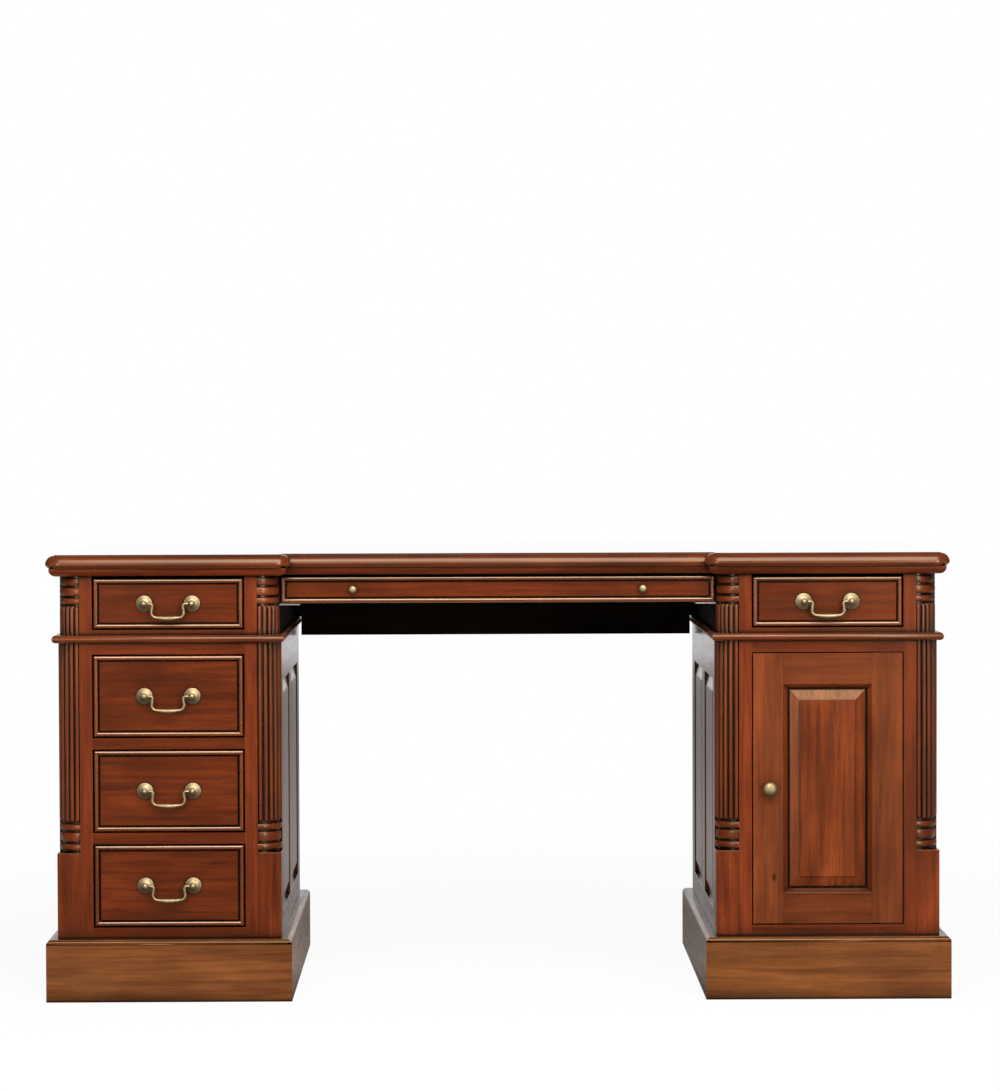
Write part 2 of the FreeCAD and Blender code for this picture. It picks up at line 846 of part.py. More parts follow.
# Top unit: frieze boxes over the pedestals, back board, apron, moulded frame and top
def frieze():
    z = (frieze_bottom, frieze_top)
    y = (column_back, frieze_inside_back)
    inner = (frieze_inner, frieze_inner + d.board_thickness)
    outer = (frieze_outer - d.board_thickness, frieze_outer)
    sides = []
    frames = []
    ledges = []
    for hand, side in SIDES:
        sides.append(board(f"{hand}_frieze_inner", across(side, *inner), y, z))
        sides.append(board(f"{hand}_frieze_outer", across(side, *outer), y, z))
        rail = [(frieze_bottom, frieze_opening_bottom)]
        frames += face_frame(f"{hand}_frieze", side, frieze_face, z, rail, frieze_column_radius)
        ledges += runners(f"{hand}_frieze", side, inner[1], outer[0], y, rail[0])
        ledges += guides(f"{hand}_frieze", side, inner[1], outer[0], y, frieze_opening_bottom)
    group("frieze_sides", sides)
    group("frieze_face_frames", frames)
    group("frieze_drawer_runners", ledges)
    back_y = (frieze_inside_back, frieze_back)
    publish(board("frieze_rear", (-frieze_outer, frieze_outer), back_y, z), "frieze_back")
    apron_half = pedestal_inner - d.cap_projection_width - d.fit_clearance
    apron_y = (frieze_inside_back - d.apron_thickness, frieze_inside_back)
    apron_z = (cap_bottom - d.apron_drop_height, frieze_top)
    apron = board("apron", (-apron_half, apron_half), apron_y, apron_z)
    publish(apron, "kneehole_apron")


def breakfront(inset):
    """The plan of the top, stepped back between the pedestals, drawn in by an inset."""
    outer = d.desk_width / 2 - inset
    step = plinth_inner + inset
    near = front + inset
    middle = front + d.centre_recess_depth + inset
    far = back - inset
    return [
        (-outer, near),
        (-step, near),
        (-step, middle),
        (step, middle),
        (step, near),
        (outer, near),
        (outer, far),
        (-outer, far),
    ]


def outward_corner(inset):
    """A test for the upright edges of that plan, leaving out the two inside corners."""
    middle = (front + d.centre_recess_depth + inset).value

    def test(ends):
        return upright(ends) and abs(ends[0].y - middle) > SAME_PLACE

    return test


def desk_top():
    body = new_body("top_board")
    lower = d.top_thickness - d.top_step_height
    plan = sketch(body, "top_plan", "XY_Plane")
    draw(plan, breakfront(0))
    pad(body, "top_blank", plan, lower)
    ease(body, "top_corners", d.top_corner_radius, outward_corner(0))
    ease(body, "top_edge", d.top_ovolo_radius, at(z=lower))
    bevel(body, "top_under_edge", d.top_under_edge_width, at(z=0))
    field_inset = d.top_ovolo_radius + d.top_step_height
    field = sketch(body, "top_field_plan", "XY_Plane", lower)
    draw(field, breakfront(field_inset))
    pad(body, "top_field", field, d.top_step_height)
    move_to(body, 0, 0, top_bottom)
    publish(body, "desk_top")


def top_frame():
    body = new_body("moulded_frame")
    outline = breakfront(d.top_frame_inset_width)
    plan = sketch(body, "frame_plan", "XY_Plane")
    draw(plan, outline)
    pad(body, "frame_blank", plan, d.top_frame_thickness)
    ease(body, "frame_ovolo", d.top_frame_ovolo_radius, at(z=0))
    far = frieze_inside_back
    windows = sketch(body, "frame_windows_plan", "XY_Plane", d.top_frame_thickness)
    for hand, side in SIDES:
        window = across(side, frieze_inner + d.board_thickness, frieze_outer - d.board_thickness)
        draw(windows, rectangle(window, (frieze_face + d.board_thickness, far)))
    draw(windows, rectangle((-frieze_inner, frieze_inner), (centre_face + d.board_thickness, far)))
    pocket(body, "frame_windows", windows, d.top_frame_thickness + d.overrun_length)
    move_to(body, 0, 0, frieze_top)
    publish(body, "top_frame")


# Drawers: beaded front, box of sides, back and bottom, and the pull
def drawer_front(name, width, height, holes, groove_half, groove_z):
    """A front with a round bead, a quirk and a sunk field, centred on its own face."""
    body = new_body(name)
    half = width / 2
    tall = height / 2
    proud = d.drawer_proud_depth
    outline = sketch(body, f"{name}_outline", "XZ_Plane", proud)
    draw(outline, rectangle((-half, half), (-tall, tall)))
    pad(body, f"{name}_blank", outline, d.drawer_front_thickness, backwards=True)
    inner = (half - d.bead_width, tall - d.bead_width)
    sunk = sketch(body, f"{name}_field_outline", "XZ_Plane", proud)
    draw(sunk, rectangle((-inner[0], inner[0]), (-inner[1], inner[1])))
    pocket(body, f"{name}_field", sunk, d.field_depth)
    bevel(body, f"{name}_bead", d.bead_slope_width, at(y=-proud))
    quirk = sketch(body, f"{name}_quirk_outline", "XZ_Plane", proud)
    draw(quirk, rectangle((-inner[0], inner[0]), (-inner[1], inner[1])))
    land = (inner[0] - d.bead_quirk_width, inner[1] - d.bead_quirk_width)
    draw(quirk, rectangle((-land[0], land[0]), (-land[1], land[1])))
    pocket(body, f"{name}_quirk", quirk, d.field_depth + d.bead_quirk_depth)
    drilled = sketch(body, f"{name}_holes_outline", "XZ_Plane", proud)
    for x in holes:
        corners = facet_ring(d.stem_radius + d.bore_clearance, STEM_SIDES)
        draw(drilled, [(x + corner_x, corner_z) for corner_x, corner_z in corners])
    pocket(body, f"{name}_holes", drilled, d.drawer_front_thickness + d.overrun_length)
    groove = sketch(body, f"{name}_groove_outline", "XZ_Plane", proud - d.drawer_front_thickness)
    draw(groove, rectangle((-groove_half, groove_half), groove_z))
    pocket(body, f"{name}_groove", groove, d.drawer_groove_depth, backwards=True)
    return body


def drawer_box(name, middle, half, y, bottom, height):
    """Grooved sides, a back standing on the bottom board, and the bottom board in its grooves."""
    inner = half - d.drawer_side_thickness
    top = bottom + height
    floor_bottom = bottom + d.drawer_bottom_lift_height
    floor = (floor_bottom, floor_bottom + d.drawer_bottom_thickness)
    floor_x = (middle - inner - d.drawer_groove_depth, middle + inner + d.drawer_groove_depth)
    floor_y = (y[0] - d.drawer_groove_depth, y[1])
    pieces = []
    for hand, side in SIDES:
        edges = (middle + half * side, middle + inner * side)
        x = (edges[1], edges[0]) if side > 0 else edges
        plank = board(f"{name}_{hand}_blank", x, y, (bottom, top))
        slot = board(f"{name}_{hand}_slot", floor_x, (y[0], y[1] + d.overrun_length), floor)
        pieces.append(without(f"{name}_{hand}_side", plank, [slot]))
    back_y = (y[1] - d.drawer_side_thickness, y[1])
    pieces.append(board(f"{name}_rear", (middle - inner, middle + inner), back_y, (floor[1], top)))
    pieces.append(board(f"{name}_floor", floor_x, floor_y, floor))
    group(f"{name}_box", pieces)


stem_reach = d.drawer_front_thickness - d.field_depth + d.nut_thickness


def facet_drum(body, name, span, radius, sides):
    """A faceted drum along -Y between two offsets from the seat."""
    start, end = span
    ring = sketch(body, f"{name}_ring", "XZ_Plane", start)
    draw(ring, facet_ring(radius, sides))
    pad(body, f"{name}_drum", ring, as_size(end) - start)


def add_stem(body, name, length):
    ring = sketch(body, f"{name}_stem_ring", "XZ_Plane")
    draw(ring, facet_ring(d.stem_radius, STEM_SIDES))
    pad(body, f"{name}_stem", ring, length, backwards=True)


def rim(offset, inner):
    """A test for the edges of a drum's end that lie outside a radius."""
    level = at(y=-as_size(offset))

    def test(ends):
        return level(ends) and all(math.hypot(end.x, end.z) > inner.value + SAME_PLACE for end in ends)

    return test


def pull_post(name):
    """A stepped rosette with a round-headed post, bored on its +X side for the bail's pin."""
    body = new_body(name)
    head = (d.post_pivot_length - d.post_head_radius, d.post_pivot_length + d.post_head_radius)
    facet_drum(body, f"{name}_head", head, d.post_head_radius, HEAD_SIDES)
    for place, end in zip(("back", "crown"), head):
        bevel(body, f"{name}_head_{place}", d.post_head_radius * HEAD_ROUND_SHARE, at(y=-end))
    facet_drum(body, f"{name}_neck", (0, d.post_pivot_length), d.post_neck_radius, STEM_SIDES)
    boss = d.rosette_edge_thickness + d.rosette_rise_height
    facet_drum(body, f"{name}_rosette", (0, boss), d.rosette_radius, POST_SIDES)
    bevel(body, f"{name}_rosette_slope", d.rosette_rise_height, rim(boss, d.rosette_boss_radius))
    crest = boss + d.boss_rise_height
    facet_drum(body, f"{name}_boss", (boss, crest), d.rosette_boss_radius, POST_SIDES)
    bevel(body, f"{name}_boss_slope", d.boss_rise_height * BOSS_SLOPE_SHARE, rim(crest, d.post_head_radius))
    add_stem(body, name, stem_reach)
    bore = sketch(body, f"{name}_bore_outline", "YZ_Plane")
    corners = facet_ring((d.bail_pin_radius + d.pin_clearance) * BORE_CORNER_SHARE, BORE_SIDES)
    draw(bore, [(y - d.post_pivot_length, z) for y, z in corners])
    pocket(body, f"{name}_bore", bore, d.post_head_radius + d.overrun_length, backwards=True)
    return body


def pull_nut(name, x, y, z):
    nut = []
    spans = (("blank", d.nut_radius, 0), ("bore", d.stem_radius + d.bore_clearance, d.overrun_length))
    for piece, radius, extra in spans:
        place = (x, y + d.nut_thickness + extra, z)
        length = d.nut_thickness + 2 * as_size(extra)
        nut.append(prism(f"{name}_{piece}", STEM_SIDES, radius, length, place, QUARTER_TURN, (1, 0, 0)))
    return without(name, nut[0], nut[1:])


def pull_posts(name, pattern, middle, field, rear, z):
    pieces = []
    for hand, side in SIDES:
        x = middle + d.pull_spacing_width / 2 * side
        post = copy_of(f"{name}_{hand}_post", pattern)
        turn = 2 * QUARTER_TURN if side > 0 else 0
        move_to(post, x, field, z, turn, (0, 1, 0))
        pieces += [post, pull_nut(f"{name}_{hand}_nut", x, rear, z)]
    group(f"{name}_posts", pieces)


def bend(centre_x, centre_z, radius, start, end):
    """Points round a bend from one angle to another."""
    points = []
    for step in range(BEND_STEPS + 1):
        angle = start + (as_size(end) - start) * (step / BEND_STEPS)
        points.append((centre_x + radius * cosine(angle), centre_z + radius * sine(angle)))
    return points


def bail(name):
    """A swan-neck bail: pins, shoulders, leaning necks, rounded corners and a swelling grip."""
    body = new_body(name)
    lean = d.bail_lean_angle
    shoulder = d.bail_shoulder_bend_radius
    corner = d.bail_corner_bend_radius
    bend_x = d.bail_shoulder_width - shoulder * cosine(lean)
    bend_z = -shoulder - shoulder * sine(lean)
    low_z = -d.bail_drop_height + corner + corner * sine(lean)
    low_x = bend_x + (bend_z - low_z) * sine(lean) / cosine(lean)
    corner_x = low_x - corner * cosine(lean)
    pin_start = d.pull_spacing_width / 2 - d.post_head_radius - d.pin_clearance
    left_half = [
        (-pin_start, as_size(0)),
        *bend(-d.bail_shoulder_width, -shoulder, shoulder, QUARTER_TURN, -lean),
        *bend(-corner_x, corner - d.bail_drop_height, corner, 2 * QUARTER_TURN - lean, 3 * QUARTER_TURN),
    ]
    right_half = [(-point_x, point_z) for point_x, point_z in reversed(left_half)]
    path = sketch(body, f"{name}_path", "XZ_Plane")
    draw(path, left_half + right_half, closed=False)
    section = sketch(body, f"{name}_section", "YZ_Plane", -pin_start)
    draw(section, facet_ring(d.bail_rod_radius, ROD_SIDES))
    doc.recompute()
    rod_sweep = body.newObject("PartDesign::AdditivePipe", f"{name}_rod")
    rod_sweep.Profile = section
    rod_sweep.Spine = (path, [f"Edge{number}" for number in range(1, path.GeometryCount + 1)])
    rod_sweep.Transition = "Right corner"
    grip_x = corner_x * GRIP_SHARE
    grip = sketch(body, f"{name}_grip_section", "YZ_Plane", -grip_x)
    draw(grip, [(y, z - d.bail_drop_height) for y, z in facet_ring(d.bail_grip_radius, ROD_SIDES)])
    pad(body, f"{name}_grip", grip, grip_x * 2)
    for hand, side in SIDES:
        swell = (d.bail_grip_radius - d.bail_rod_radius) * GRIP_ROUND_SHARE
        bevel(body, f"{name}_{hand}_grip_end", swell, grip_end(grip_x * side))
        pin = sketch(body, f"{name}_{hand}_pin_outline", "YZ_Plane", pin_start * side)
        draw(pin, flat_sided(d.bail_pin_radius))
        pad(body, f"{name}_{hand}_pin", pin, d.post_head_radius - d.pin_clearance, backwards=side < 0)
    return body


def grip_end(place):
    """A test for the outer rim at one end of a bail's grip."""
    level = at(x=place)

    def test(ends):
        reach = [math.hypot(end.y, end.z + d.bail_drop_height.value) for end in ends]
        return level(ends) and all(radius > d.bail_rod_radius.value + SAME_PLACE for radius in reach)

    return test


def drawer(name, middle, face, opening, headroom, box_back, post_pattern, bail_pattern):
    bottom, top = opening
    width = opening_outer - opening_inner - d.drawer_gap * 2
    height = top - bottom - d.drawer_gap
    rear = face + d.drawer_front_thickness - d.drawer_proud_depth
    box_half = (opening_outer - opening_inner) / 2 - d.drawer_side_clearance
    box_bottom = bottom + d.running_clearance
    centre_z = bottom + d.drawer_gap + height / 2
    floor_low = box_bottom + d.drawer_bottom_lift_height - centre_z
    panel = drawer_front(
        f"{name}_panel",
        width,
        height,
        (-d.pull_spacing_width / 2, d.pull_spacing_width / 2),
        box_half - d.drawer_side_thickness + d.drawer_groove_depth,
        (floor_low, floor_low + d.drawer_bottom_thickness),
    )
    move_to(panel, middle, face, centre_z)
    publish(panel, f"{name}_front")
    drawer_box(name, middle, box_half, (rear, box_back), box_bottom, top - bottom - headroom)
    field = face - d.drawer_proud_depth + d.field_depth
    pull_posts(name, post_pattern, middle, field, rear, centre_z)
    loop = copy_of(f"{name}_loop", bail_pattern)
    move_to(loop, middle, field - d.post_pivot_length, centre_z)
    group(f"{name}_bail", [loop])


def all_drawers():
    patterns = (pull_post("pull_post"), bail("bail"))
    for hand, side in SIDES:
        drawer(
            f"{hand}_frieze_drawer",
            pedestal_middle * side,
            frieze_face,
            (frieze_opening_bottom, frieze_top - d.frieze_top_gap),
            d.frieze_headroom_gap,
            frieze_inside_back - d.frieze_rear_gap,
            *patterns,
        )
    for level, place in enumerate(("lower", "middle", "upper")):
        bottom = opening_bottom + drawer_pitch * level
        drawer(
            f"left_{place}_drawer",
            -pedestal_middle,
            pedestal_face,
            (bottom, bottom + drawer_opening - d.drawer_gap),
            d.pedestal_headroom_gap,
            inside_back - d.pedestal_rear_gap,
            *patterns,
        )


def knob(name, radius, length, neck, stem):
    """A turned mushroom knob along -Y with a stem behind it."""
    body = new_body(name)
    under = length * KNOB_NECK_SHARE
    thickness = length - under
    facet_drum(body, f"{name}_foot", (0, d.rosette_edge_thickness), radius * KNOB_FOOT_SHARE, KNOB_SIDES)
    facet_drum(body, f"{name}_stalk", (d.rosette_edge_thickness, under), neck, STEM_SIDES)
    facet_drum(body, f"{name}_head", (under, length), radius, KNOB_SIDES)
    bevel(body, f"{name}_crown", thickness * KNOB_CROWN_SHARE, at(y=-length))
    add_stem(body, name, stem)
    return body


# Centre drawer: shallow, hung between the frieze boxes on steel angles
def centre_drawer():
    top = frieze_top - d.centre_top_gap
    bottom = top - d.centre_front_height
    centre_z = (top + bottom) / 2
    half = frieze_inner - d.centre_front_gap
    knob_x = half * SMALL_KNOB_PLACE_SHARE
    rear = centre_face + d.drawer_front_thickness - d.drawer_proud_depth
    box_half = frieze_inner - d.bearer_width + d.runner_lip_width
    floor_low = bottom + d.drawer_bottom_lift_height - centre_z
    panel = drawer_front(
        "centre_panel",
        half * 2,
        d.centre_front_height,
        (-knob_x, knob_x),
        box_half - d.drawer_side_thickness + d.drawer_groove_depth,
        (floor_low, floor_low + d.drawer_bottom_thickness),
    )
    move_to(panel, 0, centre_face, centre_z)
    publish(panel, "centre_drawer_front")
    bearer_back = frieze_inside_back - d.apron_thickness
    box_y = (rear, bearer_back - d.centre_rear_gap)
    drawer_box("centre_drawer", 0, box_half, box_y, bottom, d.centre_front_height - d.centre_headroom_gap)
    field = centre_face - d.drawer_proud_depth + d.field_depth
    knobs = []
    for hand, side in SIDES:
        turned = knob(
            f"{hand}_small_knob",
            d.small_knob_radius,
            d.small_knob_length,
            d.small_knob_radius * KNOB_STALK_SHARE,
            stem_reach,
        )
        x = knob_x * side
        move_to(turned, x, field, centre_z)
        knobs += [turned, pull_nut(f"{hand}_knob_nut", x, rear, centre_z)]
    group("centre_drawer_knobs", knobs)
    angles = []
    shelf_top = bottom - d.running_clearance
    shelf = (shelf_top - d.bearer_thickness, shelf_top)
    y = (centre_face + d.bearer_thickness, bearer_back)
    for hand, side in SIDES:
        flat_x = across(side, frieze_inner - d.bearer_width, frieze_inner)
        flat = board(f"{hand}_bearer_flat", flat_x, y, shelf)
        upright_x = across(side, frieze_inner - d.bearer_thickness, frieze_inner)
        wall_y = (rear + d.running_clearance, bearer_back)
        wall = board(f"{hand}_bearer_wall", upright_x, wall_y, (shelf[0], shelf[0] + d.bearer_height))
        angles.append(together(f"{hand}_bearer", [flat, wall]))
    group("centre_drawer_bearers", angles)


# Right-hand cupboard: framed door on pivot hinges, stop, catch and shelf
door_left = opening_inner + d.door_gap
door_right = opening_outer - d.door_gap
door_bottom = opening_bottom + d.door_gap
door_top = opening_top - d.door_gap
door_y = (pedestal_face, pedestal_face + d.board_thickness)
door_panel_left = door_left + d.door_member_width
door_panel_right = door_right - d.door_member_width
door_panel_bottom = door_bottom + d.door_member_width
door_panel_top = door_top - d.door_member_width
hinge_x = door_right - d.hinge_edge_width
hinge_y = pedestal_face + d.hinge_setback_depth


def hinge_plan():
    x = (hinge_x - d.hinge_length + d.hinge_edge_width, door_right)
    y = (hinge_y - d.hinge_width * HINGE_FRONT_SHARE, hinge_y + d.hinge_width * (1 - HINGE_FRONT_SHARE))
    return x, y


def door_plate_spans():
    lower = (door_bottom, door_bottom + d.hinge_plate_thickness)
    upper = (door_top - d.hinge_plate_thickness, door_top)
    return {"lower": lower, "upper": upper}


def door_moulding():
    """A mitred sloping moulding round the panel, cut from one ring."""
    body = new_body("door_moulding_ring")
    depth = d.board_thickness / 2 - d.panel_rim_thickness / 2
    half = (door_panel_right - door_panel_left) / 2
    height = door_panel_top - door_panel_bottom
    outline = sketch(body, "moulding_outline", "XZ_Plane")
    draw(outline, rectangle((-half, half), (0, height)))
    pad(body, "moulding_blank", outline, depth, backwards=True)
    mouths = []
    rings = (("mouth", d.door_moulding_lip_width, 0), ("foot", d.door_moulding_width, -depth))
    for step, inset, lift in rings:
        mouth = sketch(body, f"moulding_{step}", "XZ_Plane", lift)
        draw(mouth, rectangle((-half + inset, half - inset), (inset, height - inset)))
        mouths.append(mouth)
    doc.recompute()
    hole = body.newObject("PartDesign::SubtractiveLoft", "moulding_hole")
    hole.Profile = mouths[0]
    hole.Sections = mouths[1:]
    hole.Ruled = True
    move_to(body, (door_panel_left + door_panel_right) / 2, pedestal_face, door_panel_bottom)
    return body


def door():
    middle = (door_y[0] + door_y[1]) / 2
    slot_bounds = (
        (door_panel_left - d.panel_groove_depth, door_panel_right + d.panel_groove_depth),
        (middle - d.panel_rim_thickness / 2, middle + d.panel_rim_thickness / 2),
        (door_panel_bottom - d.panel_groove_depth, door_panel_top + d.panel_groove_depth),
    )
    whole = (door_bottom, door_top)
    between = (door_panel_left, door_panel_right)
    members = {
        "knob_stile": ((door_left, door_panel_left), whole),
        "hinge_stile": ((door_panel_right, door_right), whole),
        "bottom_rail": (between, (door_bottom, door_panel_bottom)),
        "top_rail": (between, (door_panel_top, door_top)),
    }
    knob_x = door_left + d.door_knob_inset_width
    knob_z = (door_bottom + door_top) / 2
    pieces = []
    for member, (x, z) in members.items():
        plank = board(f"door_{member}_blank", x, door_y, z)
        cuts = [board(f"door_{member}_slot", *slot_bounds)]
        if member == "hinge_stile":
            for place, span in door_plate_spans().items():
                cuts.append(board(f"door_{place}_mortise", *hinge_plan(), span))
        if member == "knob_stile":
            bore_length = d.board_thickness + d.overrun_length * 2
            place = (knob_x, door_y[1] + d.overrun_length, knob_z)
            hole = d.stem_radius + d.bore_clearance
            cuts.append(prism("knob_bore", STEM_SIDES, hole, bore_length, place, QUARTER_TURN, (1, 0, 0)))
        pieces.append(without(f"door_{member}", plank, cuts))
    pieces.append(door_moulding())
    group("door_frame", pieces)
    panel = raised_panel(
        "door_raised_panel",
        door_panel_right - door_panel_left,
        door_panel_top - door_panel_bottom,
        d.board_thickness,
        d.door_moulding_width + d.fit_clearance,
        d.door_panel_inset_width,
    )
    panel_x = (door_panel_left + door_panel_right) / 2
    move_to(panel, panel_x, middle, door_panel_bottom, 2 * QUARTER_TURN)
    publish(panel, "door_panel")
    turned = knob(
        "door_knob_turning",
        d.door_knob_radius,
        d.door_knob_length,
        d.door_knob_radius * KNOB_STALK_SHARE,
        d.board_thickness + d.nut_thickness,
    )
    move_to(turned, knob_x, pedestal_face, knob_z)
    nut = pull_nut("door_knob_nut", knob_x, door_y[1], knob_z)
    group("door_knob", [turned, nut])


def hinges():
    """Pivot hinges hidden in the gaps above and below the door."""
    plates = []
    leaves = []
    x, y = hinge_plan()
    spans = door_plate_spans()
    rests = {
        "lower": (opening_bottom, opening_bottom + d.hinge_leaf_thickness),
        "upper": (opening_top - d.hinge_leaf_thickness, opening_top),
    }
    pin_length = d.hinge_plate_thickness + d.door_gap - d.fit_clearance
    for place, span in spans.items():
        plate = board(f"{place}_hinge_blank", x, y, span)
        bore_place = (hinge_x, hinge_y, span[0] - d.overrun_length)
        bore_radius = (d.hinge_pin_radius + d.pin_clearance) * BORE_CORNER_SHARE
        bore_length = d.hinge_plate_thickness + d.overrun_length * 2
        bore = prism(f"{place}_hinge_bore", BORE_SIDES, bore_radius, bore_length, bore_place)
        plates.append(without(f"{place}_hinge_plate", plate, [bore]))
        leaf = board(f"{place}_hinge_rest", x, y, rests[place])
        pin_bottom = rests[place][0] if place == "lower" else rests[place][1] - pin_length
        pin_place = (hinge_x, hinge_y, pin_bottom)
        pin = round_pin(f"{place}_hinge_pin", d.hinge_pin_radius, pin_length, pin_place)
        leaves.append(together(f"{place}_hinge_leaf", [leaf, pin]))
    group("door_hinge_plates", plates)
    group("hinge_leaves", leaves)


def cupboard():
    stop_y = (door_y[1], door_y[1] + d.door_stop_thickness)
    stop_x = (column_inner, opening_inner + d.door_stop_overlap_width)
    publish(board("stop_strip", stop_x, stop_y, (opening_bottom, opening_top)), "door_stop")
    catch_x = (stop_x[1], stop_x[1] + d.catch_length)
    catch_z = (opening_top - d.catch_height, opening_top)
    publish(board("catch_block", catch_x, stop_y, catch_z), "door_catch")
    shelf_bottom = opening_bottom + (opening_top - opening_bottom) * SHELF_HEIGHT_SHARE
    shelf_y = (column_back + d.shelf_setback_depth, inside_back - d.fit_clearance)
    shelf_x = (inside_inner + d.fit_clearance, inside_outer - d.fit_clearance)
    shelf_z = (shelf_bottom, shelf_bottom + d.shelf_thickness)
    publish(board("shelf", shelf_x, shelf_y, shelf_z), "cupboard_shelf")
    bearer_z = (shelf_bottom - d.shelf_bearer_height, shelf_bottom)
    bearers = [
        board("inner_shelf_bearer", (inside_inner, inside_inner + d.shelf_bearer_width), shelf_y, bearer_z),
        board("outer_shelf_bearer", (inside_outer - d.shelf_bearer_width, inside_outer), shelf_y, bearer_z),
    ]
    group("shelf_bearers", bearers)


for hand_name, hand_side in SIDES:
    pedestal(hand_name, hand_side)
columns()
left_runners()
frieze()
desk_top()
top_frame()
all_drawers()
centre_drawer()
door()
hinges()
cupboard()
doc.recompute()

# Every object must have come out whole before anything is written
for item in doc.Objects:
    faults = [state for state in item.State if state in ("Invalid", "Error")]
    if faults:
        raise RuntimeError(f"{item.Label}: {faults}")
for item in subparts:
    if item.Shape.isNull() or not item.Shape.isValid():
        raise RuntimeError(f"{item.Label}: no valid shape")

os.makedirs("parts", exist_ok=True)
for item in subparts:
    item.Shape.exportStep(f"parts/{item.Label}.step")
print(f"{len(subparts)} sub-parts written")
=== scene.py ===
import json
import math

import bmesh
import bpy
from mathutils import Matrix, Vector

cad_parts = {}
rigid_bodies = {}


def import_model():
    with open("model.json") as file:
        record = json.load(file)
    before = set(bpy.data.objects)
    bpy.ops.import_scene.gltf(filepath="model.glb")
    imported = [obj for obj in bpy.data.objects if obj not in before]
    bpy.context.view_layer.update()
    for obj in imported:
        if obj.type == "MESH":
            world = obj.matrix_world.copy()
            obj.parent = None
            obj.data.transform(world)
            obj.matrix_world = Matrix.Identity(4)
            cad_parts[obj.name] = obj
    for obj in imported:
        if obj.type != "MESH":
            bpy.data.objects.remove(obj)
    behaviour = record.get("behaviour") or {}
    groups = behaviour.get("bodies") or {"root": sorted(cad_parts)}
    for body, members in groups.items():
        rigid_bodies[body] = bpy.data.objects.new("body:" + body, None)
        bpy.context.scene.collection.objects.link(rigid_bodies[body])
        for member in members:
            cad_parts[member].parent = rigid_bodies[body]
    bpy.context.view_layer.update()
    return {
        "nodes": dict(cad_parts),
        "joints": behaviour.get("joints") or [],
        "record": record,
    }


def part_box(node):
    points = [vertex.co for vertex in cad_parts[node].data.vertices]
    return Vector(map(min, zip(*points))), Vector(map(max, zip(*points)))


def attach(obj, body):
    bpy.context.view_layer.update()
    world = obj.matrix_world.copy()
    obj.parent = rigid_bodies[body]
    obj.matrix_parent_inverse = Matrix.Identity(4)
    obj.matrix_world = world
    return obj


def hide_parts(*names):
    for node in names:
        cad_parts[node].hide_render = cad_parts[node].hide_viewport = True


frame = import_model()
nodes = frame["nodes"]
MM = 0.001
AXES = ("x", "y", "z")
SIDES = (-1, 1)

# Camera of the photograph, in metres and degrees, for a frame of 1000 by 1091
FRAME_HEIGHT_PX = 1091
SENSOR_MM = 36
FOCAL_PX = 3504
CAMERA_PLACE = (-0.048, -6.515, 0.991)
CAMERA_YAW = 0.48
CAMERA_PITCH = 1.73
CAMERA_ROLL = -0.19

# Tolerances in millimetres, and angles in degrees above which an edge is sharp
MERGED = 0.001
CLOSE = 0.01
FRONT_SHARP = 35
COLUMN_SHARP = 50

# Brass pulls and knobs, in millimetres, with the lean of a bail's arms in degrees
PULL_SPACING = 84.5
PIVOT_OFFSET = 12.5
TURNED_SEGMENTS = 40
ROSETTE_PROFILE = (
    (14.5, 0), (14.5, 0.9), (14.1, 1.5), (13.2, 1.8), (12.5, 1.9), (12.1, 2.4), (11.6, 2.9), (10.2, 3.7),
    (8.6, 4.6), (6.8, 5.5), (5.2, 6.2), (4.2, 6.9), (3.7, 7.6), (3.8, 8.2), (4.5, 8.7), (5.2, 9.9),
    (5.7, 11.2), (5.9, 12.5), (5.6, 14.2), (4.7, 15.8), (3.2, 17.1), (1.6, 17.8), (0, 18),
)
STEM_RADIUS = 2.4
STEM_LENGTH = 20.8
NUT_SIDES = 6
NUT_RADIUS = 5.2
NUT_DEPTH = 4
BAIL_SHOULDER = 31
BAIL_SHOULDER_BEND = 4
BAIL_STRAIGHT = 4
BAIL_CORNER_BEND = 9
BAIL_BEND_STEPS = 8
BAIL_DROP = 24.5
BAIL_LEAN = 9
BAIL_ROD = 2.5
BAIL_ROD_SIDES = 16
BAIL_GRIP = 4.2
BAIL_GRIP_SHARES = (0.8, 0.6, 0.4, 0.2, 0.0)
BAIL_TIP = 1.7
BAIL_END = 37.4
SMALL_KNOB_LENGTH = 12
SMALL_KNOB_SPREAD = 1.2

# The turning of a knob, as shares of its radius and of its length
KNOB_PROFILE = (
    (0.72, 0), (0.72, 0.05), (0.66, 0.08), (0.5, 0.12), (0.42, 0.22), (0.42, 0.36), (0.5, 0.46),
    (0.72, 0.53), (0.92, 0.6), (1.0, 0.69), (0.98, 0.78), (0.86, 0.87), (0.64, 0.94), (0.34, 0.985),
    (0, 1.0),
)

# Reeded quarter columns, in millimetres; each ring has a height, an inset and a power that rounds it
REEDS = 6
REED_WIDTH_SHARE = 0.88
REED_STEPS = 14
REED_TIP = 6
REED_TIP_SHARES = (0.0, 0.04, 0.12, 0.25, 0.42, 0.65, 1.0)
GROOVE_DEPTH = 4.2
BLOCK_HEIGHT = 152
BLOCK_BEVEL = 0.8
BASE_GAP = 4
BASE_RINGS = ((12, 0, 0.45), (16, 2, 0.25), (11, 0, 0.45))
CAPITAL_GAP = 3.5
CAPITAL_RINGS = ((11, 0, 0.45), (15, 0, 0.35), (13, 2, 0.35))
RING_STEPS = 10
NECK_DEPTH = 5

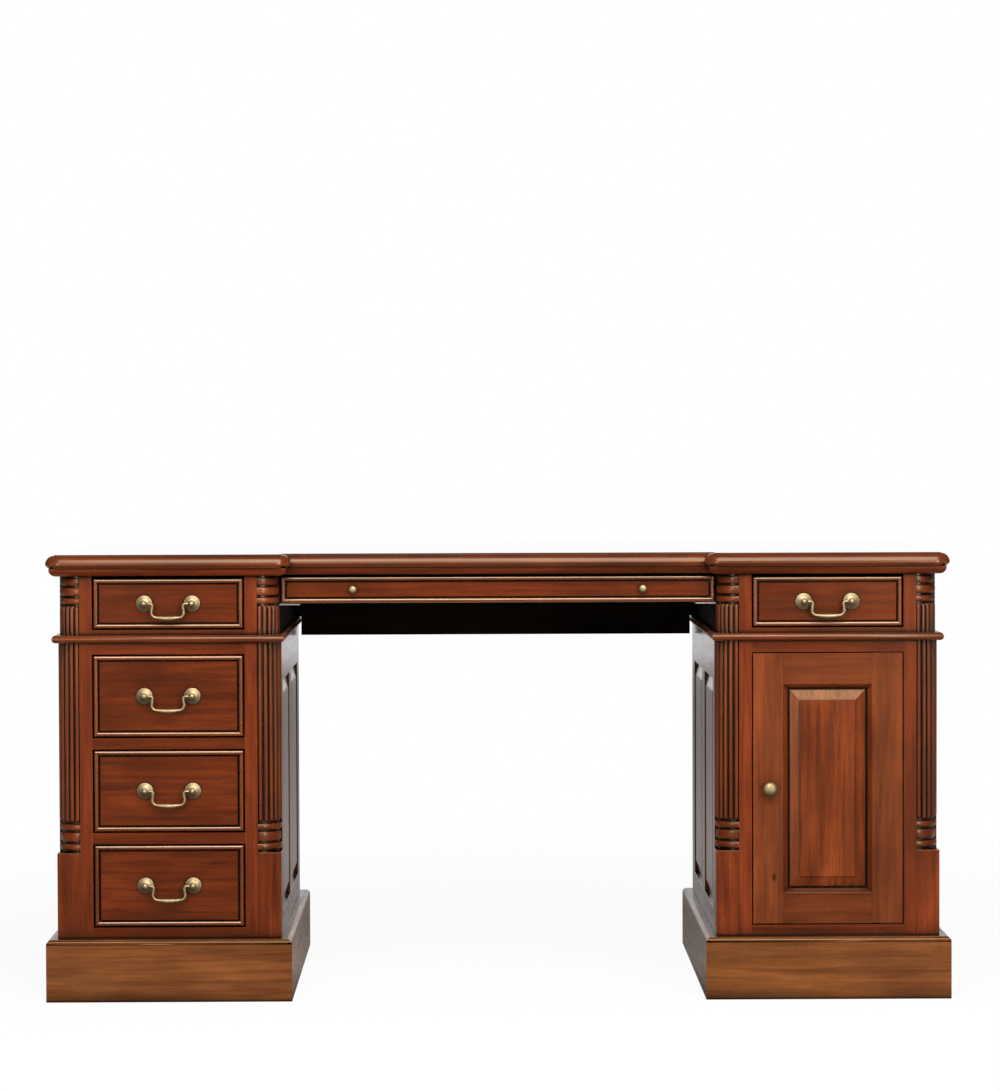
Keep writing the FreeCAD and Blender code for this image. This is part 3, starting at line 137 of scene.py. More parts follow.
# Beaded drawer fronts, in millimetres
BEAD_MARGIN = 0.8
BEAD_WIDTH = 8
BEAD_RISE = 3.4
BEAD_STEPS = 8
BEAD_ALLOWANCE = 0.1
BEAD_AREA_SHARE = 0.25
QUIRK_WIDTH = 3
QUIRK_FLOOR = (0.25, 0.75)
QUIRK_DEPTH = 6.5
FIELD_DEPTH = 3.2

# Fielded door panel, in millimetres, with insets from the edge that sits in the frame's groove
PANEL_RIM = 6
PANEL_SIGHT = 15.6
PANEL_QUIRK_WIDTH = 3.6
PANEL_QUIRK_SLOPE = 0.3
PANEL_QUIRK_DEPTH = 4
PANEL_FIELD = 36.5
PANEL_STEP = 1.5
PANEL_EASING = ((0.2, 0.3), (0.6, 0))


# Meshes
def placed(name, data):
    """A new object, linked into the scene."""
    made = bpy.data.objects.new(name, data)
    bpy.context.scene.collection.objects.link(made)
    return made


def new_mesh(name, vertices, faces):
    """A smooth-shaded object from points and faces."""
    mesh = bpy.data.meshes.new(name)
    mesh.from_pydata([tuple(vertex) for vertex in vertices], [], faces)
    mesh.validate()
    for polygon in mesh.polygons:
        polygon.use_smooth = True
    return placed(name, mesh)


def from_bmesh(name, work):
    """An object from a bmesh, which is then freed."""
    mesh = bpy.data.meshes.new(name)
    work.to_mesh(mesh)
    work.free()
    return placed(name, mesh)


def shade_flat(piece):
    for polygon in piece.data.polygons:
        polygon.use_smooth = False


def recalculate(piece):
    """Merges doubled points and turns every face of a closed mesh outward."""
    work = bmesh.new()
    work.from_mesh(piece.data)
    bmesh.ops.remove_doubles(work, verts=work.verts, dist=MERGED * MM)
    bmesh.ops.recalc_face_normals(work, faces=work.faces)
    work.to_mesh(piece.data)
    work.free()


def joined(name, pieces):
    """Several meshes as one object."""
    work = bmesh.new()
    for piece in pieces:
        work.from_mesh(piece.data)
    for piece in pieces:
        bpy.data.objects.remove(piece)
    return from_bmesh(name, work)


def ring_stack(name, rings):
    """A closed skin over rings of points; a ring of one point is a tip."""
    vertices = []
    starts = []
    for ring in rings:
        starts.append(len(vertices))
        vertices += ring
    faces = []
    for first, second, low, high in zip(rings, rings[1:], starts, starts[1:]):
        count = max(len(first), len(second))
        for index in range(count):
            following = (index + 1) % count
            if len(first) == 1:
                faces.append((low, high + index, high + following))
            elif len(second) == 1:
                faces.append((low + index, high, low + following))
            else:
                faces.append((low + index, high + index, high + following, low + following))
    for ring, start in ((rings[0], starts[0]), (rings[-1], starts[-1])):
        if len(ring) > 1:
            faces.append(tuple(range(start, start + len(ring))))
    piece = new_mesh(name, vertices, faces)
    recalculate(piece)
    return piece


def circle(centre, radius, count):
    """Points round a circle that faces the front, with its radius in millimetres."""
    angles = [math.tau * step / count for step in range(count)]
    return [centre + Vector((math.cos(a), 0, math.sin(a))) * radius * MM for a in angles]


def turned(name, centre, profile):
    """A lathe-turned piece along -Y from a profile of radii and offsets in millimetres."""
    rings = []
    for radius, offset in profile:
        place = Vector(centre) + Vector((0, -offset * MM, 0))
        rings.append([place] if radius == 0 else circle(place, radius, TURNED_SEGMENTS))
    return ring_stack(name, rings)


def tube(name, points, radii, sides):
    """A round rod along a path that lies in an upright plane across the desk."""
    rings = []
    for index, (point, radius) in enumerate(zip(points, radii)):
        before = points[max(index - 1, 0)]
        after = points[min(index + 1, len(points) - 1)]
        along = (after - before).normalized()
        across = Vector((0, 1, 0))
        upward = along.cross(across)
        angles = [math.tau * step / sides for step in range(sides)]
        rings.append([point + (across * math.cos(a) + upward * math.sin(a)) * radius * MM for a in angles])
    return ring_stack(name, rings)


def block(name, low, high):
    """A squared block with softened edges."""
    work = bmesh.new()
    bmesh.ops.create_cube(work, size=1)
    low, high = Vector(low), Vector(high)
    for vertex in work.verts:
        share = vertex.co + Vector((0.5, 0.5, 0.5))
        vertex.co = low + Vector(a * b for a, b in zip(share, high - low))
    edges = work.edges
    bmesh.ops.bevel(work, geom=edges, offset=BLOCK_BEVEL * MM, segments=2, affect="EDGES", profile=0.5)
    return from_bmesh(name, work)


# Node materials
def blank_material(name):
    """A new node material, its node tree and its shader."""
    material = bpy.data.materials.new(name)
    material.use_nodes = True
    tree = material.node_tree
    return material, tree, tree.nodes["Principled BSDF"]


def node(tree, kind, **inputs):
    made = tree.nodes.new(kind)
    for key, value in inputs.items():
        made.inputs[key].default_value = value
    return made


def link(tree, source, target):
    tree.links.new(source, target)


def ramp(tree, source, stops):
    made = tree.nodes.new("ShaderNodeValToRGB")
    band = made.color_ramp
    while len(band.elements) < len(stops):
        band.elements.new(0.5)
    for element, (place, colour) in zip(band.elements, stops):
        element.position = place
        element.color = (*colour, 1)
    link(tree, source, made.inputs["Fac"])
    return made.outputs["Color"]


def mixed(tree, kind, factor, first, second):
    """Two colours mixed, where each input is a socket, a number or a colour."""
    made = tree.nodes.new("ShaderNodeMix")
    made.data_type = "RGBA"
    made.blend_type = kind
    sockets = (made.inputs["Factor"], made.inputs[6], made.inputs[7])
    for socket, value in zip(sockets, (factor, first, second)):
        if hasattr(value, "is_linked"):
            link(tree, value, socket)
        elif isinstance(value, (int, float)):
            socket.default_value = value
        else:
            socket.default_value = (*value, 1)
    return made.outputs[2]


def stretched(tree, axis, along, across):
    """The object's own coordinates, drawn out along the grain."""
    place = tree.nodes.new("ShaderNodeTexCoord")
    mapping = tree.nodes.new("ShaderNodeMapping")
    mapping.inputs["Scale"].default_value = [along if letter == axis else across for letter in AXES]
    link(tree, place.outputs["Object"], mapping.inputs["Vector"])
    return mapping.outputs["Vector"]


def noise(tree, vector, scale, detail, roughness, distortion=0.0):
    made = node(
        tree, "ShaderNodeTexNoise", Scale=scale, Detail=detail, Roughness=roughness, Distortion=distortion
    )
    link(tree, vector, made.inputs["Vector"])
    return made.outputs["Fac"]


def grain(tree, axis, along, across, *character):
    """A noise drawn out along the grain."""
    return noise(tree, stretched(tree, axis, along, across), 1.0, *character)


def nearness(tree, reach, inside):
    """How open a point is within a reach, outside in the hollows or inside at the arrises."""
    made = node(tree, "ShaderNodeAmbientOcclusion", Distance=reach)
    made.samples = NEARNESS_SAMPLES
    made.inside = inside
    return made.outputs["AO"]


def relieved(tree, surface, height, strength):
    """A fine relief on a surface."""
    relief = node(tree, "ShaderNodeBump", Strength=strength, Distance=RELIEF_DEPTH)
    link(tree, height, relief.inputs["Height"])
    link(tree, relief.outputs["Normal"], surface.inputs["Normal"])


def tinted(colour, share):
    return tuple(min(part * share, 1) for part in colour)


# Colour, coat, roughness, and the share of rubbed wear with painted highlight on the arrises, of each tone
# of wood
WOOD_TONES = {
    "body": ((0.135, 0.024, 0.006), 0.0, 0.26, 0.0),
    "body_rail": ((0.105, 0.0175, 0.004), 0.0, 0.26, 0.0),
    "field": ((0.1, 0.0172, 0.0036), 0.0, 0.26, 0.0),
    "bead": ((0.12, 0.025, 0.006), 0.0, 0.22, 0.5),
    "bead_side": ((0.12, 0.025, 0.006), 0.0, 0.26, 0.3),
    "moulding": ((0.105, 0.0225, 0.006), 0.0, 0.26, 0.22),
    "column": ((0.125, 0.025, 0.0065), 0.0, 0.3, 0.12),
    "door": ((0.128, 0.0295, 0.008), 0.0, 0.26, 0.0),
    "door_rail": ((0.098, 0.0215, 0.006), 0.0, 0.26, 0.0),
    "panel": ((0.14, 0.028, 0.0065), 0.0, 0.26, 0.0),
    "plinth": ((0.135, 0.047, 0.0135), 0.0, 0.26, 0.0),
    "side": ((0.13, 0.03, 0.01), 0.48, 0.26, 0.0),
    "top": ((0.15, 0.038, 0.012), 1.0, 0.05, 0.0),
    "lining": ((0.4, 0.25, 0.14), 0.0, 0.6, 0.0),
    # Painted shade: near black for the apron and the faces in the kneehole, where shade falls under the top
    "kneehole_shade": ((0.003, 0.002, 0.0015), 0.0, 0.8, 0.0),
}
FIGURED = ("field", "body", "body_rail", "panel")
# Near-black colour of the painted shade in the hollows
HOLLOW_SHADE_COLOUR = (0.003, 0.001, 0.0005)
KNOT = (0.025, 0.006, 0.002)
# Pale cream of the rubbed arrises: partly real wear, partly a painted highlight
WEAR_AND_HIGHLIGHT_COLOUR = (0.32, 0.13, 0.045)

# Gloss of the wood; the polish of the top grows between two values of Layer Weight's Facing
LACQUER_TINT = (1, 0.76, 0.48, 1)
RUBBED_TINT = (1, 0.85, 0.64, 1)
RUBBED_IOR = {"bead": 2.2, "bead_side": 1.6, "moulding": 1.55, "column": 1.5}
FULL_SPECULAR = 0.5
DULL_SPECULAR = 0.1
DULL_ROUGHNESS = 0.5
COAT_ROUGHNESS = 0.2
POLISH_ROUGHNESS = 0.02
POLISH_FACING = (0.88, 0.95)
SATIN_COAT = 0.02
SATIN_SPECULAR = 0.01

# Noises of the wood: scale along the grain, scale across it, detail, roughness and distortion
BROAD_FIGURE = (1.5, 16, 4.0, 0.6, 0.8)
STREAKS = (5, 110, 6.0, 0.7, 0.5)
PORES = (60, 1100, 2.0, 0.5, 0.0)
PATCHES = (7, 15, 3.0, 0.55, 0.0)
KNOT_SPACING = (0.55, 1)
KNOT_SCALE = 9

# Ramps over these noises, and how strongly each of them tints the wood
FIGURE_STEPS = ((0.3, 0.62), (0.5, 1), (0.72, 1.42))
STREAK_STOPS = ((0.34, (0.54, 0.38, 0.32)), (0.6, (1.14, 1.14, 1.14)))
PORE_STOPS = ((0.3, (0.5, 0.45, 0.42)), (0.44, (1, 1, 1)))
PATCH_STOPS = ((0.3, (0.62, 0.55, 0.52)), (0.62, (1, 1, 1)))
KNOT_STOPS = ((0.02, (1, 1, 1)), (0.05, (0, 0, 0)))
SHEEN_STEPS = ((0.3, 1.2), (0.7, 0.8))
FIGURED_STREAK_SHARE = 1.0
STREAK_SHARE = 0.7
PORE_SHARE = 0.5
PATCH_SHARE = 0.8

# Painted shade that darkens the hollows, and rubbed wear with painted highlight on the arrises: reach, and
# ramps over how open a point is
NEARNESS_SAMPLES = 6
WEAR_AND_HIGHLIGHT_REACH = 5 * MM
WEAR_AND_HIGHLIGHT_OPENNESS = (0.45, 0.9)
PAINTED_SHADE_REACHES = (
    (28 * MM, ((0.5, (0.62,) * 3), (0.97, (0, 0, 0)))),
    (6 * MM, ((0.66, (1, 1, 1)), (0.96, (0, 0, 0)))),
)

# Relief, and the mottle and dark hollows of cast metal
RELIEF_DEPTH = 0.1 * MM
PORE_RELIEF = 0.2
CAST_RELIEF = 0.1
MOTTLE = (160, 4.0, 0.6)
MOTTLE_PLACES = (0.3, 0.65)
MOTTLE_SHADE = 0.72
CAST_REACH = 4 * MM
CAST_STOPS = ((0.35, (0.9,) * 3), (0.9, (0, 0, 0)))
CAST_DULLING = ((0.3, 0.12), (0.7, 0.0))


def wood(tone, axis):
    """Lacquered wood with its grain along one axis, painted shade in the hollows, rubbed wear with painted
    highlight on the arrises, and a few small knots.
    """
    name = f"{tone}_grain_{axis}"
    if name in bpy.data.materials:
        return bpy.data.materials[name]
    material, tree, surface = blank_material(name)
    colour, coat, rough, wear_and_highlight = WOOD_TONES[tone]
    streaks = grain(tree, axis, *STREAKS)
    pores = grain(tree, axis, *PORES)
    figure = [(place, tinted(colour, share)) for place, share in FIGURE_STEPS]
    paint = ramp(tree, grain(tree, axis, *BROAD_FIGURE), figure)
    streak_share = FIGURED_STREAK_SHARE if tone in FIGURED else STREAK_SHARE
    for share, source, stops in (
        (streak_share, streaks, STREAK_STOPS),
        (PORE_SHARE, pores, PORE_STOPS),
        (PATCH_SHARE, grain(tree, axis, *PATCHES), PATCH_STOPS),
    ):
        paint = mixed(tree, "MULTIPLY", share, paint, ramp(tree, source, stops))
    cells = node(tree, "ShaderNodeTexVoronoi", Scale=KNOT_SCALE)
    link(tree, stretched(tree, axis, *KNOT_SPACING), cells.inputs["Vector"])
    paint = mixed(tree, "MIX", ramp(tree, cells.outputs["Distance"], KNOT_STOPS), paint, KNOT)
    # Rubbed wear and painted highlight: convex arrises lighten towards pale cream
    if wear_and_highlight:
        stops = zip(WEAR_AND_HIGHLIGHT_OPENNESS, ((wear_and_highlight,) * 3, (0, 0, 0)))
        wear_and_highlight_mask = ramp(tree, nearness(tree, WEAR_AND_HIGHLIGHT_REACH, True), list(stops))
        paint = mixed(tree, "MIX", wear_and_highlight_mask, paint, WEAR_AND_HIGHLIGHT_COLOUR)
        surface.inputs["IOR"].default_value = RUBBED_IOR[tone]
    # Painted shade: the hollows darken towards near black, over a broad reach and a tight one
    for reach, stops in PAINTED_SHADE_REACHES:
        paint = mixed(tree, "MIX", ramp(tree, nearness(tree, reach, False), stops), paint, HOLLOW_SHADE_COLOUR)
    link(tree, paint, surface.inputs["Base Color"])
    sheen = ramp(tree, streaks, [(place, (rough * share,) * 3) for place, share in SHEEN_STEPS])
    link(tree, sheen, surface.inputs["Roughness"])
    polished = tone == "top"
    dull = polished or rough > DULL_ROUGHNESS
    surface.inputs["Specular IOR Level"].default_value = DULL_SPECULAR if dull else FULL_SPECULAR
    surface.inputs["Specular Tint"].default_value = RUBBED_TINT if wear_and_highlight else LACQUER_TINT
    surface.inputs["Coat Weight"].default_value = coat
    surface.inputs["Coat Roughness"].default_value = POLISH_ROUGHNESS if polished else COAT_ROUGHNESS
    if polished:
        facing = tree.nodes.new("ShaderNodeLayerWeight").outputs["Facing"]
        for socket, satin, full in (
            ("Coat Weight", SATIN_COAT, coat),
            ("Specular IOR Level", SATIN_SPECULAR, FULL_SPECULAR),
        ):
            gloss = ramp(tree, facing, list(zip(POLISH_FACING, ((satin,) * 3, (full,) * 3))))
            link(tree, gloss, surface.inputs[socket])
    relieved(tree, surface, pores, PORE_RELIEF)
    return material


def metal(name, bright, dark, rough):
    """Cast metal, darkened in its hollows and lightly mottled."""
    material, tree, surface = blank_material(name)
    place = tree.nodes.new("ShaderNodeTexCoord")
    mottle = noise(tree, place.outputs["Object"], *MOTTLE)
    shaded = tuple(MOTTLE_SHADE * part for part in bright)
    base = ramp(tree, mottle, list(zip(MOTTLE_PLACES, (shaded, bright))))
    shade = ramp(tree, nearness(tree, CAST_REACH, False), CAST_STOPS)
    link(tree, mixed(tree, "MIX", shade, base, dark), surface.inputs["Base Color"])
    surface.inputs["Metallic"].default_value = 1
    finish = ramp(tree, mottle, [(level, (rough + more,) * 3) for level, more in CAST_DULLING])
    link(tree, finish, surface.inputs["Roughness"])
    relieved(tree, surface, mottle, CAST_RELIEF)
    return material


BRASS = metal("antique_brass_cast", (0.47, 0.37, 0.22), (0.015, 0.009, 0.004), 0.52)
STEEL = metal("zinc_plate", (0.4, 0.4, 0.39), (0.1, 0.1, 0.1), 0.4)
# Browned brass made near black for the hinges: partly their finish, partly painted shade so the door's gap
# reads dark
BROWNED_GAP_SHADE = metal("browned_brass", (0.03, 0.022, 0.016), (0.01, 0.008, 0.007), 0.6)

# The CAD pieces take metal, or wood by the run of each board's faces
BROWNED_NODES = ("hinge_leaves", "door_hinge_plates")
UPWARD = 0.99
TOP_SKIN = 2 * MM
KNEEHOLE_ALLOWANCE = 1 * MM
WELDED = 0.005 * MM
ARRIS_WIDTH = 0.85 * MM
ARRIS_SEGMENTS = 2
ARRIS_ANGLE = math.radians(40)


def face_groups(mesh):
    """The polygons of a CAD mesh, gathered by the face that they come from."""
    parent = list(range(len(mesh.vertices)))

    def root(index):
        while parent[index] != index:
            parent[index] = parent[parent[index]]
            index = parent[index]
        return index

    for polygon in mesh.polygons:
        first, *others = polygon.vertices
        for other in others:
            parent[root(other)] = root(first)
    groups = {}
    for polygon in mesh.polygons:
        groups.setdefault(root(polygon.vertices[0]), []).append(polygon)
    return groups.values()


def grain_axis(mesh, polygons):
    """The number of the axis along which some polygons reach furthest."""
    places = [mesh.vertices[index].co for polygon in polygons for index in polygon.vertices]
    spans = [max(place[a] for place in places) - min(place[a] for place in places) for a in range(3)]
    return spans.index(max(spans))


def dress_wood(name, tone):
    """Wood with the grain along each face, and a darker tone across the desk where there is one."""
    mesh = nodes[name].data
    mesh.materials.clear()
    darker = f"{tone}_rail"
    for axis in AXES:
        mesh.materials.append(wood(darker if axis == "x" and darker in WOOD_TONES else tone, axis))
    for polygons in face_groups(mesh):
        index = grain_axis(mesh, polygons)
        for polygon in polygons:
            polygon.material_index = index


def dress_metal(name, material):
    mesh = nodes[name].data
    mesh.materials.clear()
    mesh.materials.append(material)


def polish_top(name):
    """A polish on the writing surface alone, which mirrors at a glancing view."""
    mesh = nodes[name].data
    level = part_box(name)[1].z
    mesh.materials.append(wood("top", "x"))
    for polygon in mesh.polygons:
        if polygon.normal.z > UPWARD and polygon.center.z > level - TOP_SKIN:
            polygon.material_index = len(mesh.materials) - 1


def paint_kneehole_shade(name, reach):
    """Near-black painted shade on the faces that look into the kneehole."""
    mesh = nodes[name].data
    mesh.materials.append(wood("kneehole_shade", "y"))
    for polygon in mesh.polygons:
        inward = polygon.center.x * polygon.normal.x < 0
        if inward and abs(polygon.center.x) < reach + KNEEHOLE_ALLOWANCE:
            polygon.material_index = len(mesh.materials) - 1


def soften(name):
    """Eased arrises on a CAD piece, with its mesh left as it is."""
    weld = nodes[name].modifiers.new("weld", "WELD")
    weld.merge_threshold = WELDED
    edge = nodes[name].modifiers.new("arris", "BEVEL")
    edge.offset_type = "WIDTH"
    edge.width = ARRIS_WIDTH
    edge.segments = ARRIS_SEGMENTS
    edge.limit_method = "ANGLE"
    edge.angle_limit = ARRIS_ANGLE
    edge.harden_normals = True


def tone_of(name, slot):
    if slot == "lining_wood":
        return "lining"
    if name.endswith("_plinth"):
        return "plinth"
    if "inner_side" in name or "side_panels" in name:
        return "side"
    if name.endswith("_cap") or name == "desk_top":
        return "moulding"
    # The apron takes the near-black painted shade of the kneehole
    special = {"door_frame": "door", "door_panel": "panel", "kneehole_apron": "kneehole_shade"}
    return special.get(name, "body")


for subpart in frame["record"]["subparts"]:
    label, slot = subpart["node"], subpart["material_slot"]
    if slot in ("mahogany", "lining_wood"):
        dress_wood(label, tone_of(label, slot))
        soften(label)
    elif slot == "antique_brass":
        dress_metal(label, BROWNED_GAP_SHADE if label in BROWNED_NODES else BRASS)
    else:
        dress_metal(label, STEEL)
paint_kneehole_shade("frieze_sides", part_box("centre_drawer_bearers")[1].x)
polish_top("desk_top")


# Drawer fronts with a half-round bead, a quirk and a sunk field
def front_profile(thickness):
    """Insets from the edge and depths from the bead's crown, from the back round to the field."""
    profile = [(BEAD_MARGIN, thickness), (BEAD_MARGIN, BEAD_RISE)]
    for step in range(1, BEAD_STEPS + 1):
        angle = math.pi * step / BEAD_STEPS
        inset = BEAD_MARGIN + BEAD_WIDTH / 2 * (1 - math.cos(angle))
        profile.append((inset, BEAD_RISE * (1 - math.sin(angle))))
    quirk = BEAD_MARGIN + BEAD_WIDTH
    profile += [(quirk + QUIRK_WIDTH * share, QUIRK_DEPTH) for share in QUIRK_FLOOR]
    profile.append((quirk + QUIRK_WIDTH, FIELD_DEPTH))
    return profile


def profiled(name, label, profile):
    """A board in the box of a CAD piece, with a profile of insets and depths run round its four sides."""
    low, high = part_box(label)
    vertices = []
    for inset, depth in profile:
        x, z = (low.x + inset * MM, high.x - inset * MM), (low.z + inset * MM, high.z - inset * MM)
        y = low.y + depth * MM
        vertices += [(x[0], y, z[0]), (x[1], y, z[0]), (x[1], y, z[1]), (x[0], y, z[1])]
    faces = [(3, 2, 1, 0)]
    for ring in range(len(profile) - 1):
        for corner in range(4):
            following = (corner + 1) % 4
            start = ring * 4
            faces.append((start + corner, start + following, start + 4 + following, start + 4 + corner))
    last = len(vertices) - 4
    faces.append((last, last + 1, last + 2, last + 3))
    piece = new_mesh(name, vertices, faces)
    recalculate(piece)
    piece.data.set_sharp_from_angle(angle=math.radians(FRONT_SHARP))
    for edge in piece.data.edges:
        first, second = (piece.data.vertices[index].co for index in edge.vertices)
        if abs(first.x - second.x) > CLOSE * MM and abs(first.z - second.z) > CLOSE * MM:
            edge.use_edge_sharp = True
    return piece


def build_front(label, body):
    low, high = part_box(label)
    piece = profiled(f"{label}_beaded", label, front_profile((high.y - low.y) / MM))
    # Horizontal beads carry more of the painted highlight than upright ones, as the overhead lamp falls on
    # them
    for tone, axis in (("field", "x"), ("bead", "x"), ("bead_side", "z")):
        piece.data.materials.append(wood(tone, axis))
    crown = low.y + (BEAD_RISE + BEAD_ALLOWANCE) * MM
    largest = max(polygon.area for polygon in piece.data.polygons)
    for polygon in piece.data.polygons:
        proud = all(piece.data.vertices[index].co.y < crown for index in polygon.vertices)
        if proud and polygon.area < largest * BEAD_AREA_SHARE:
            upright = grain_axis(piece.data, [polygon]) == 2
            polygon.material_index = 2 if upright else 1
    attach(piece, body)
    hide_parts(label)


for label in [name for name in nodes if name.endswith("drawer_front")]:
    build_front(label, label.removesuffix("_front"))


# The door's raised panel, with a quirk at the foot of the moulding
def build_panel():
    low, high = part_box("door_panel")
    back = (high.y - low.y) / MM
    rim = back - PANEL_RIM
    quirk = rim + PANEL_QUIRK_DEPTH
    profile = [
        (0, back), (0, rim), (PANEL_SIGHT, rim), (PANEL_SIGHT + PANEL_QUIRK_SLOPE, quirk),
        (PANEL_SIGHT + PANEL_QUIRK_WIDTH - PANEL_QUIRK_SLOPE, quirk), (PANEL_SIGHT + PANEL_QUIRK_WIDTH, rim),
        (PANEL_FIELD, PANEL_STEP),
    ]
    profile += [(PANEL_FIELD + inset, depth) for inset, depth in PANEL_EASING]
    piece = profiled("door_panel_fielded", "door_panel", profile)
    shade_flat(piece)
    piece.data.materials.append(wood("panel", "z"))
    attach(piece, "door")
    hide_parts("door_panel")


build_panel()


# Reeded quarter columns with round-ended reeds and turned rings
def swelling(bottom, top, foot, crown, fullness):
    """Rows of a rounded ring between two levels, from one radius out to another and back."""
    rows = []
    for step in range(RING_STEPS + 1):
        angle = math.pi * step / RING_STEPS
        level = (bottom + top) / 2 - (top - bottom) / 2 * math.cos(angle)
        rows.append((level, foot + (crown - foot) * math.sin(angle) ** fullness, 0))
    return rows


def ring_rows(level, gap, rings, radius, neck):
    """Rounded rings with a plain neck under each of them, and the level of the last one's top."""
    rows = []
    for height, inset, fullness in rings:
        rows += [(level, neck, 0), (level + gap, neck, 0)]
        rows += swelling(level + gap, level + gap + height, neck, radius - inset, fullness)
        level += gap + height
    return rows, level


def reeding(bottom, top, low_tip, high_tip):
    """Rows of the reeds: level, no plain radius, and how full the reeds are."""
    rows = []
    tips = [(REED_TIP * s, math.sqrt(1 - (1 - s) ** 2)) for s in REED_TIP_SHARES]
    if low_tip:
        rows += [(bottom + rise, None, fullness) for rise, fullness in tips]
    else:
        rows.append((bottom, None, 1))
    if high_tip:
        rows += [(top - fall, None, fullness) for fall, fullness in reversed(tips)]
    else:
        rows.append((top, None, 1))
    return rows


def quarter_column(name, axis, side, foot, radius, rows):
    """A turned quarter facing the front and one side, with its flat faces to the carcass."""
    pitch = math.pi / 2 / (REEDS - 1 + REED_WIDTH_SHARE)
    first = pitch * REED_WIDTH_SHARE / 2
    ring = radius / (1 + math.sin(first))
    reed = radius - ring
    core = radius - GROOVE_DEPTH
    steps = REEDS * REED_STEPS
    vertices = []
    for level, plain, fullness in rows:
        z = foot + level * MM
        vertices.append((axis[0], axis[1], z))
        for step in range(steps + 1):
            angle = math.pi / 2 * step / steps
            reach = plain
            if plain is None:
                number = min(max(round((angle - first) / pitch), 0), REEDS - 1)
                swing = angle - first - number * pitch
                half_chord = reed**2 - (ring * math.sin(swing)) ** 2
                crest = ring * math.cos(swing) + math.sqrt(max(half_chord, 0))
                reach = core + max(crest - core, 0) * fullness
            x = axis[0] + side * reach * MM * math.cos(angle)
            vertices.append((x, axis[1] - reach * MM * math.sin(angle), z))
    row_size = steps + 2
    faces = []
    for row in range(len(rows) - 1):
        low, high = row * row_size, (row + 1) * row_size
        for step in range(row_size):
            following = (step + 1) % row_size
            faces.append((low + step, low + following, high + following, high + step))
    faces.append(tuple(range(row_size)))
    faces.append(tuple(range((len(rows) - 1) * row_size, len(rows) * row_size)))
    piece = new_mesh(name, vertices, faces)
    recalculate(piece)
    piece.data.set_sharp_from_angle(angle=math.radians(COLUMN_SHARP))
    return piece


def pedestal_rows(radius, height):
    neck = radius - NECK_DEPTH
    rows, level = ring_rows(BLOCK_HEIGHT, BASE_GAP, BASE_RINGS, radius, neck)
    foot = level + BASE_GAP
    return rows + [(level, neck, 0), (foot, neck, 0)] + reeding(foot, height, True, False)


def frieze_rows(radius, height):
    neck = radius - NECK_DEPTH
    taken = sum(ring[0] + CAPITAL_GAP for ring in CAPITAL_RINGS) + CAPITAL_GAP
    crown = height - taken
    rows, level = ring_rows(crown, CAPITAL_GAP, CAPITAL_RINGS, radius, neck)
    return reeding(0, crown, False, True) + rows + [(level, neck, 0), (height, neck, 0)]


def build_columns():
    """The columns, with their squared blocks in a second material."""
    turned_pieces = {"pedestal_columns": [], "frieze_columns": []}
    for hand in ("left", "right"):
        low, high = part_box(f"{hand}_face_frame")
        for x, side in ((low.x, -1), (high.x, 1)):
            for label, rows_of in (("pedestal_columns", pedestal_rows), ("frieze_columns", frieze_rows)):
                corner_low, corner_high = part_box(label)
                radius = (corner_high.y - corner_low.y) / MM
                height = (corner_high.z - corner_low.z) / MM
                place = (x, corner_high.y)
                name = f"{label}_{hand}_{len(turned_pieces[label])}"
                rows = rows_of(radius, height)
                turned_pieces[label].append(quarter_column(name, place, side, corner_low.z, radius, rows))
                if label == "pedestal_columns":
                    span = sorted((x, x + side * radius * MM))
                    bottom = (span[0], corner_low.y, corner_low.z)
                    top = (span[1], corner_high.y, corner_low.z + BLOCK_HEIGHT * MM)
                    square = block(f"{name}_block", bottom, top)
                    for polygon in square.data.polygons:
                        polygon.material_index = 1
                    turned_pieces[label].append(square)
    for label, pieces in turned_pieces.items():
        whole = joined(f"{label}_reeded", pieces)
        whole.data.materials.append(wood("column", "z"))
        whole.data.materials.append(wood("body", "z"))
        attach(whole, "carcass")
        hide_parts(label)


# Brass pulls and knobs
def bail_path():
    """The right half of the swan neck, from the pin to the middle of the grip, across and down."""
    lean = math.radians(BAIL_LEAN)
    bends = range(BAIL_BEND_STEPS + 1)
    points = [(BAIL_END, 0.0), (BAIL_SHOULDER + BAIL_STRAIGHT, 0.0)]
    for step in bends:
        angle = math.pi / 2 + (math.pi / 2 + lean) * step / BAIL_BEND_STEPS
        x = BAIL_SHOULDER + BAIL_SHOULDER_BEND * math.cos(angle)
        points.append((x, -BAIL_SHOULDER_BEND + BAIL_SHOULDER_BEND * math.sin(angle)))
    bend_x = BAIL_SHOULDER - BAIL_SHOULDER_BEND * math.cos(lean)
    bend_z = -BAIL_SHOULDER_BEND * (1 + math.sin(lean))
    low_z = -BAIL_DROP + BAIL_CORNER_BEND * (1 + math.sin(lean))
    low_x = bend_x + (bend_z - low_z) * math.tan(lean)
    corner_x = low_x - BAIL_CORNER_BEND * math.cos(lean)
    for step in bends:
        angle = lean - (math.pi / 2 + lean) * step / BAIL_BEND_STEPS
        x = corner_x + BAIL_CORNER_BEND * math.cos(angle)
        points.append((x, -BAIL_DROP + BAIL_CORNER_BEND + BAIL_CORNER_BEND * math.sin(angle)))
    points += [(corner_x * share, -BAIL_DROP) for share in BAIL_GRIP_SHARES]
    return points, corner_x


